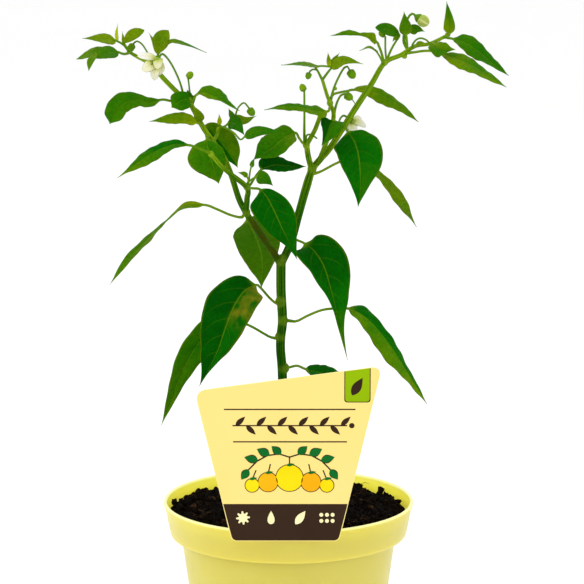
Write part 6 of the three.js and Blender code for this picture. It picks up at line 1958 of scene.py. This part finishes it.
    def stake(self) -> Surface:
        """Strip behind the card that steps over the lip and narrows to a point in the soil.

        Its section is a flat oval-cornered bar with a rib down the middle, carried along the stake's
        middle line.
        """
        front = self.back + self.clearance
        inside = -(self.pot.rim_radius - self.pot.lip - 0.2 - 2 * self.clearance) + 1.2
        line = [(0, front + 0.6, 150), (0, front + 0.6, 107), (0, inside, 102), (0, -34, 50.4)]
        middle = softened(np.array(line, float), 1.6, 7)
        runs = np.concatenate([[0.0], np.cumsum(np.linalg.norm(np.diff(middle, axis=0), axis=1))])
        shares = np.unique(np.concatenate([runs, np.linspace(0, runs[-1], 60)]))
        middle = np.stack([np.interp(shares, runs, middle[:, k]) for k in range(3)], axis=1)
        ways = unit(np.gradient(middle, axis=0))
        outward = np.cross(ways, [1.0, 0.0, 0.0])
        half = 6.9 * np.minimum(1.0, 0.12 + 0.88 * smooth_step((runs[-1] - shares) / 16.0))
        angle = circle(40)
        x = np.sign(np.cos(angle)) * np.abs(np.cos(angle)) ** 0.35
        y = np.sign(np.sin(angle)) * np.abs(np.sin(angle)) ** 0.5 * 0.45
        y = y + np.where(np.sin(angle) > 0, 0.12, 0.0) * np.exp(-((x / 0.2) ** 2))
        rings = (middle[:, None] + half[:, None, None] * x[None, :, None] * np.array([1.0, 0.0, 0.0])
                 + outward[:, None] * y[None, :, None])
        return Surface.skin(rings)

    def build(self) -> None:
        """Makes the card, its stake and one piece for each ink."""
        make_piece("label_card_fine", self.card(), Look.CARD, ["label_card"], smooth=False)
        dress_node("label_stake", [self.stake()], Look.STAKE)
        inks: dict[Look, list[Surface]] = {}
        for look, layer, outline in (*self.sprig(), *self.lines(), *self.tab(), *self.pictograms()):
            inks.setdefault(look, []).append(self.film(outline, layer))
        for look, surfaces in inks.items():
            make_piece(f"label_{look.value.name}", Surface.joined(surfaces), look,
                       smooth=False)


@dataclass(frozen=True)
class Foliage:
    """All leaves, sprays and flowers."""

    large: BladeMaker = BladeMaker()
    small: BladeMaker = BladeMaker(rows=26, columns=12, stalk_radius=0.4, thickness=0.14, rib=0.2, veins=5)
    petal: BladeMaker = BladeMaker(rows=22, columns=12, stalk_radius=0.5, thickness=0.12, rib=0.1, veins=9)

    def build(self) -> None:
        """Makes each leaf, spray and flower in place of its node."""
        for leaf in LARGE_LEAVES:
            dress_node(leaf.name, [self.large.surface(leaf)], Look.LEAF)
        for spray in SPRAYS:
            spray.build(self.small)
        for flower in FLOWERS:
            flower.build(self.petal)
        OpeningBud().build()


@dataclass(frozen=True)
class Studio:
    """Camera at the picture's viewpoint, plain pale floor and soft light."""

    floor_size: float = 16000.0
    picture: float = 584.0
    sensor: float = 36.0

    def camera(self) -> None:
        """Places the camera where the picture was taken from."""
        data = bpy.data.cameras.new("camera")
        data.sensor_width = self.sensor
        data.lens = VIEW.focal / self.picture * self.sensor
        data.clip_start = 0.05
        data.clip_end = 60.0
        camera = add_object("camera", data)
        camera.location = [value * MM for value in VIEW.eye]
        camera.rotation_euler = (math.pi / 2 - VIEW.pitch, 0.0, 0.0)
        bpy.context.scene.camera = camera

    def floor(self) -> None:
        """Lays a slab whose top is the surface that the pot stands on."""
        half = self.floor_size / 2
        square = np.array([[-half, -half], [half, -half], [half, half], [-half, half]])
        rings = np.stack([np.column_stack([square, np.full(4, z)]) for z in (-20.0, -0.05)])
        slab = add_object("floor", Surface.skin(rings).mesh("floor", smooth=False))
        slab.data.materials.append(Look.FLOOR.value.material())

    def lights(self) -> None:
        """Hangs soft panels and fills the room with white light."""
        panels = (
            ("key", (-1.1, -1.3, 1.5), 1.0, 6.4),
            ("fill", (1.3, -1.0, 1.1), 1.4, 1.9),
            ("side", (-1.2, -0.25, 0.3), 0.5, 0.9),
            ("back", (0.2, 1.2, 1.3), 1.4, 3.0),
        )
        for name, place, size, power in panels:
            data = bpy.data.lights.new(name, "AREA")
            data.shape = "SQUARE"
            data.size = size
            data.energy = power
            lamp = add_object(name, data)
            lamp.location = place
            aim = np.array([0.0, 0.0, 0.2]) - np.array(place)
            flat = math.hypot(aim[0], aim[1])
            lamp.rotation_euler = (math.atan2(flat, -aim[2]), 0.0, math.atan2(aim[1], aim[0]) - math.pi / 2)
        world = bpy.data.worlds.new("studio")
        world.use_nodes = True
        background = world.node_tree.nodes["Background"]
        background.inputs["Color"].default_value = WHITE
        background.inputs["Strength"].default_value = 1.0
        bpy.context.scene.world = world
        bpy.context.scene.view_settings.view_transform = "Standard"

    def build(self) -> None:
        """Sets up the whole studio."""
        self.camera()
        self.floor()
        self.lights()


def main() -> None:
    """Builds the plant and its studio."""
    logging.basicConfig(level=logging.INFO, format="%(name)s: %(message)s")
    pot = Pot()
    for part in (Studio(), pot, Soil(pot), Label(pot), Stem(), Foliage()):
        part.build()
        LOG.info("%s done", type(part).__name__)


if __name__ == "__main__":
    main()
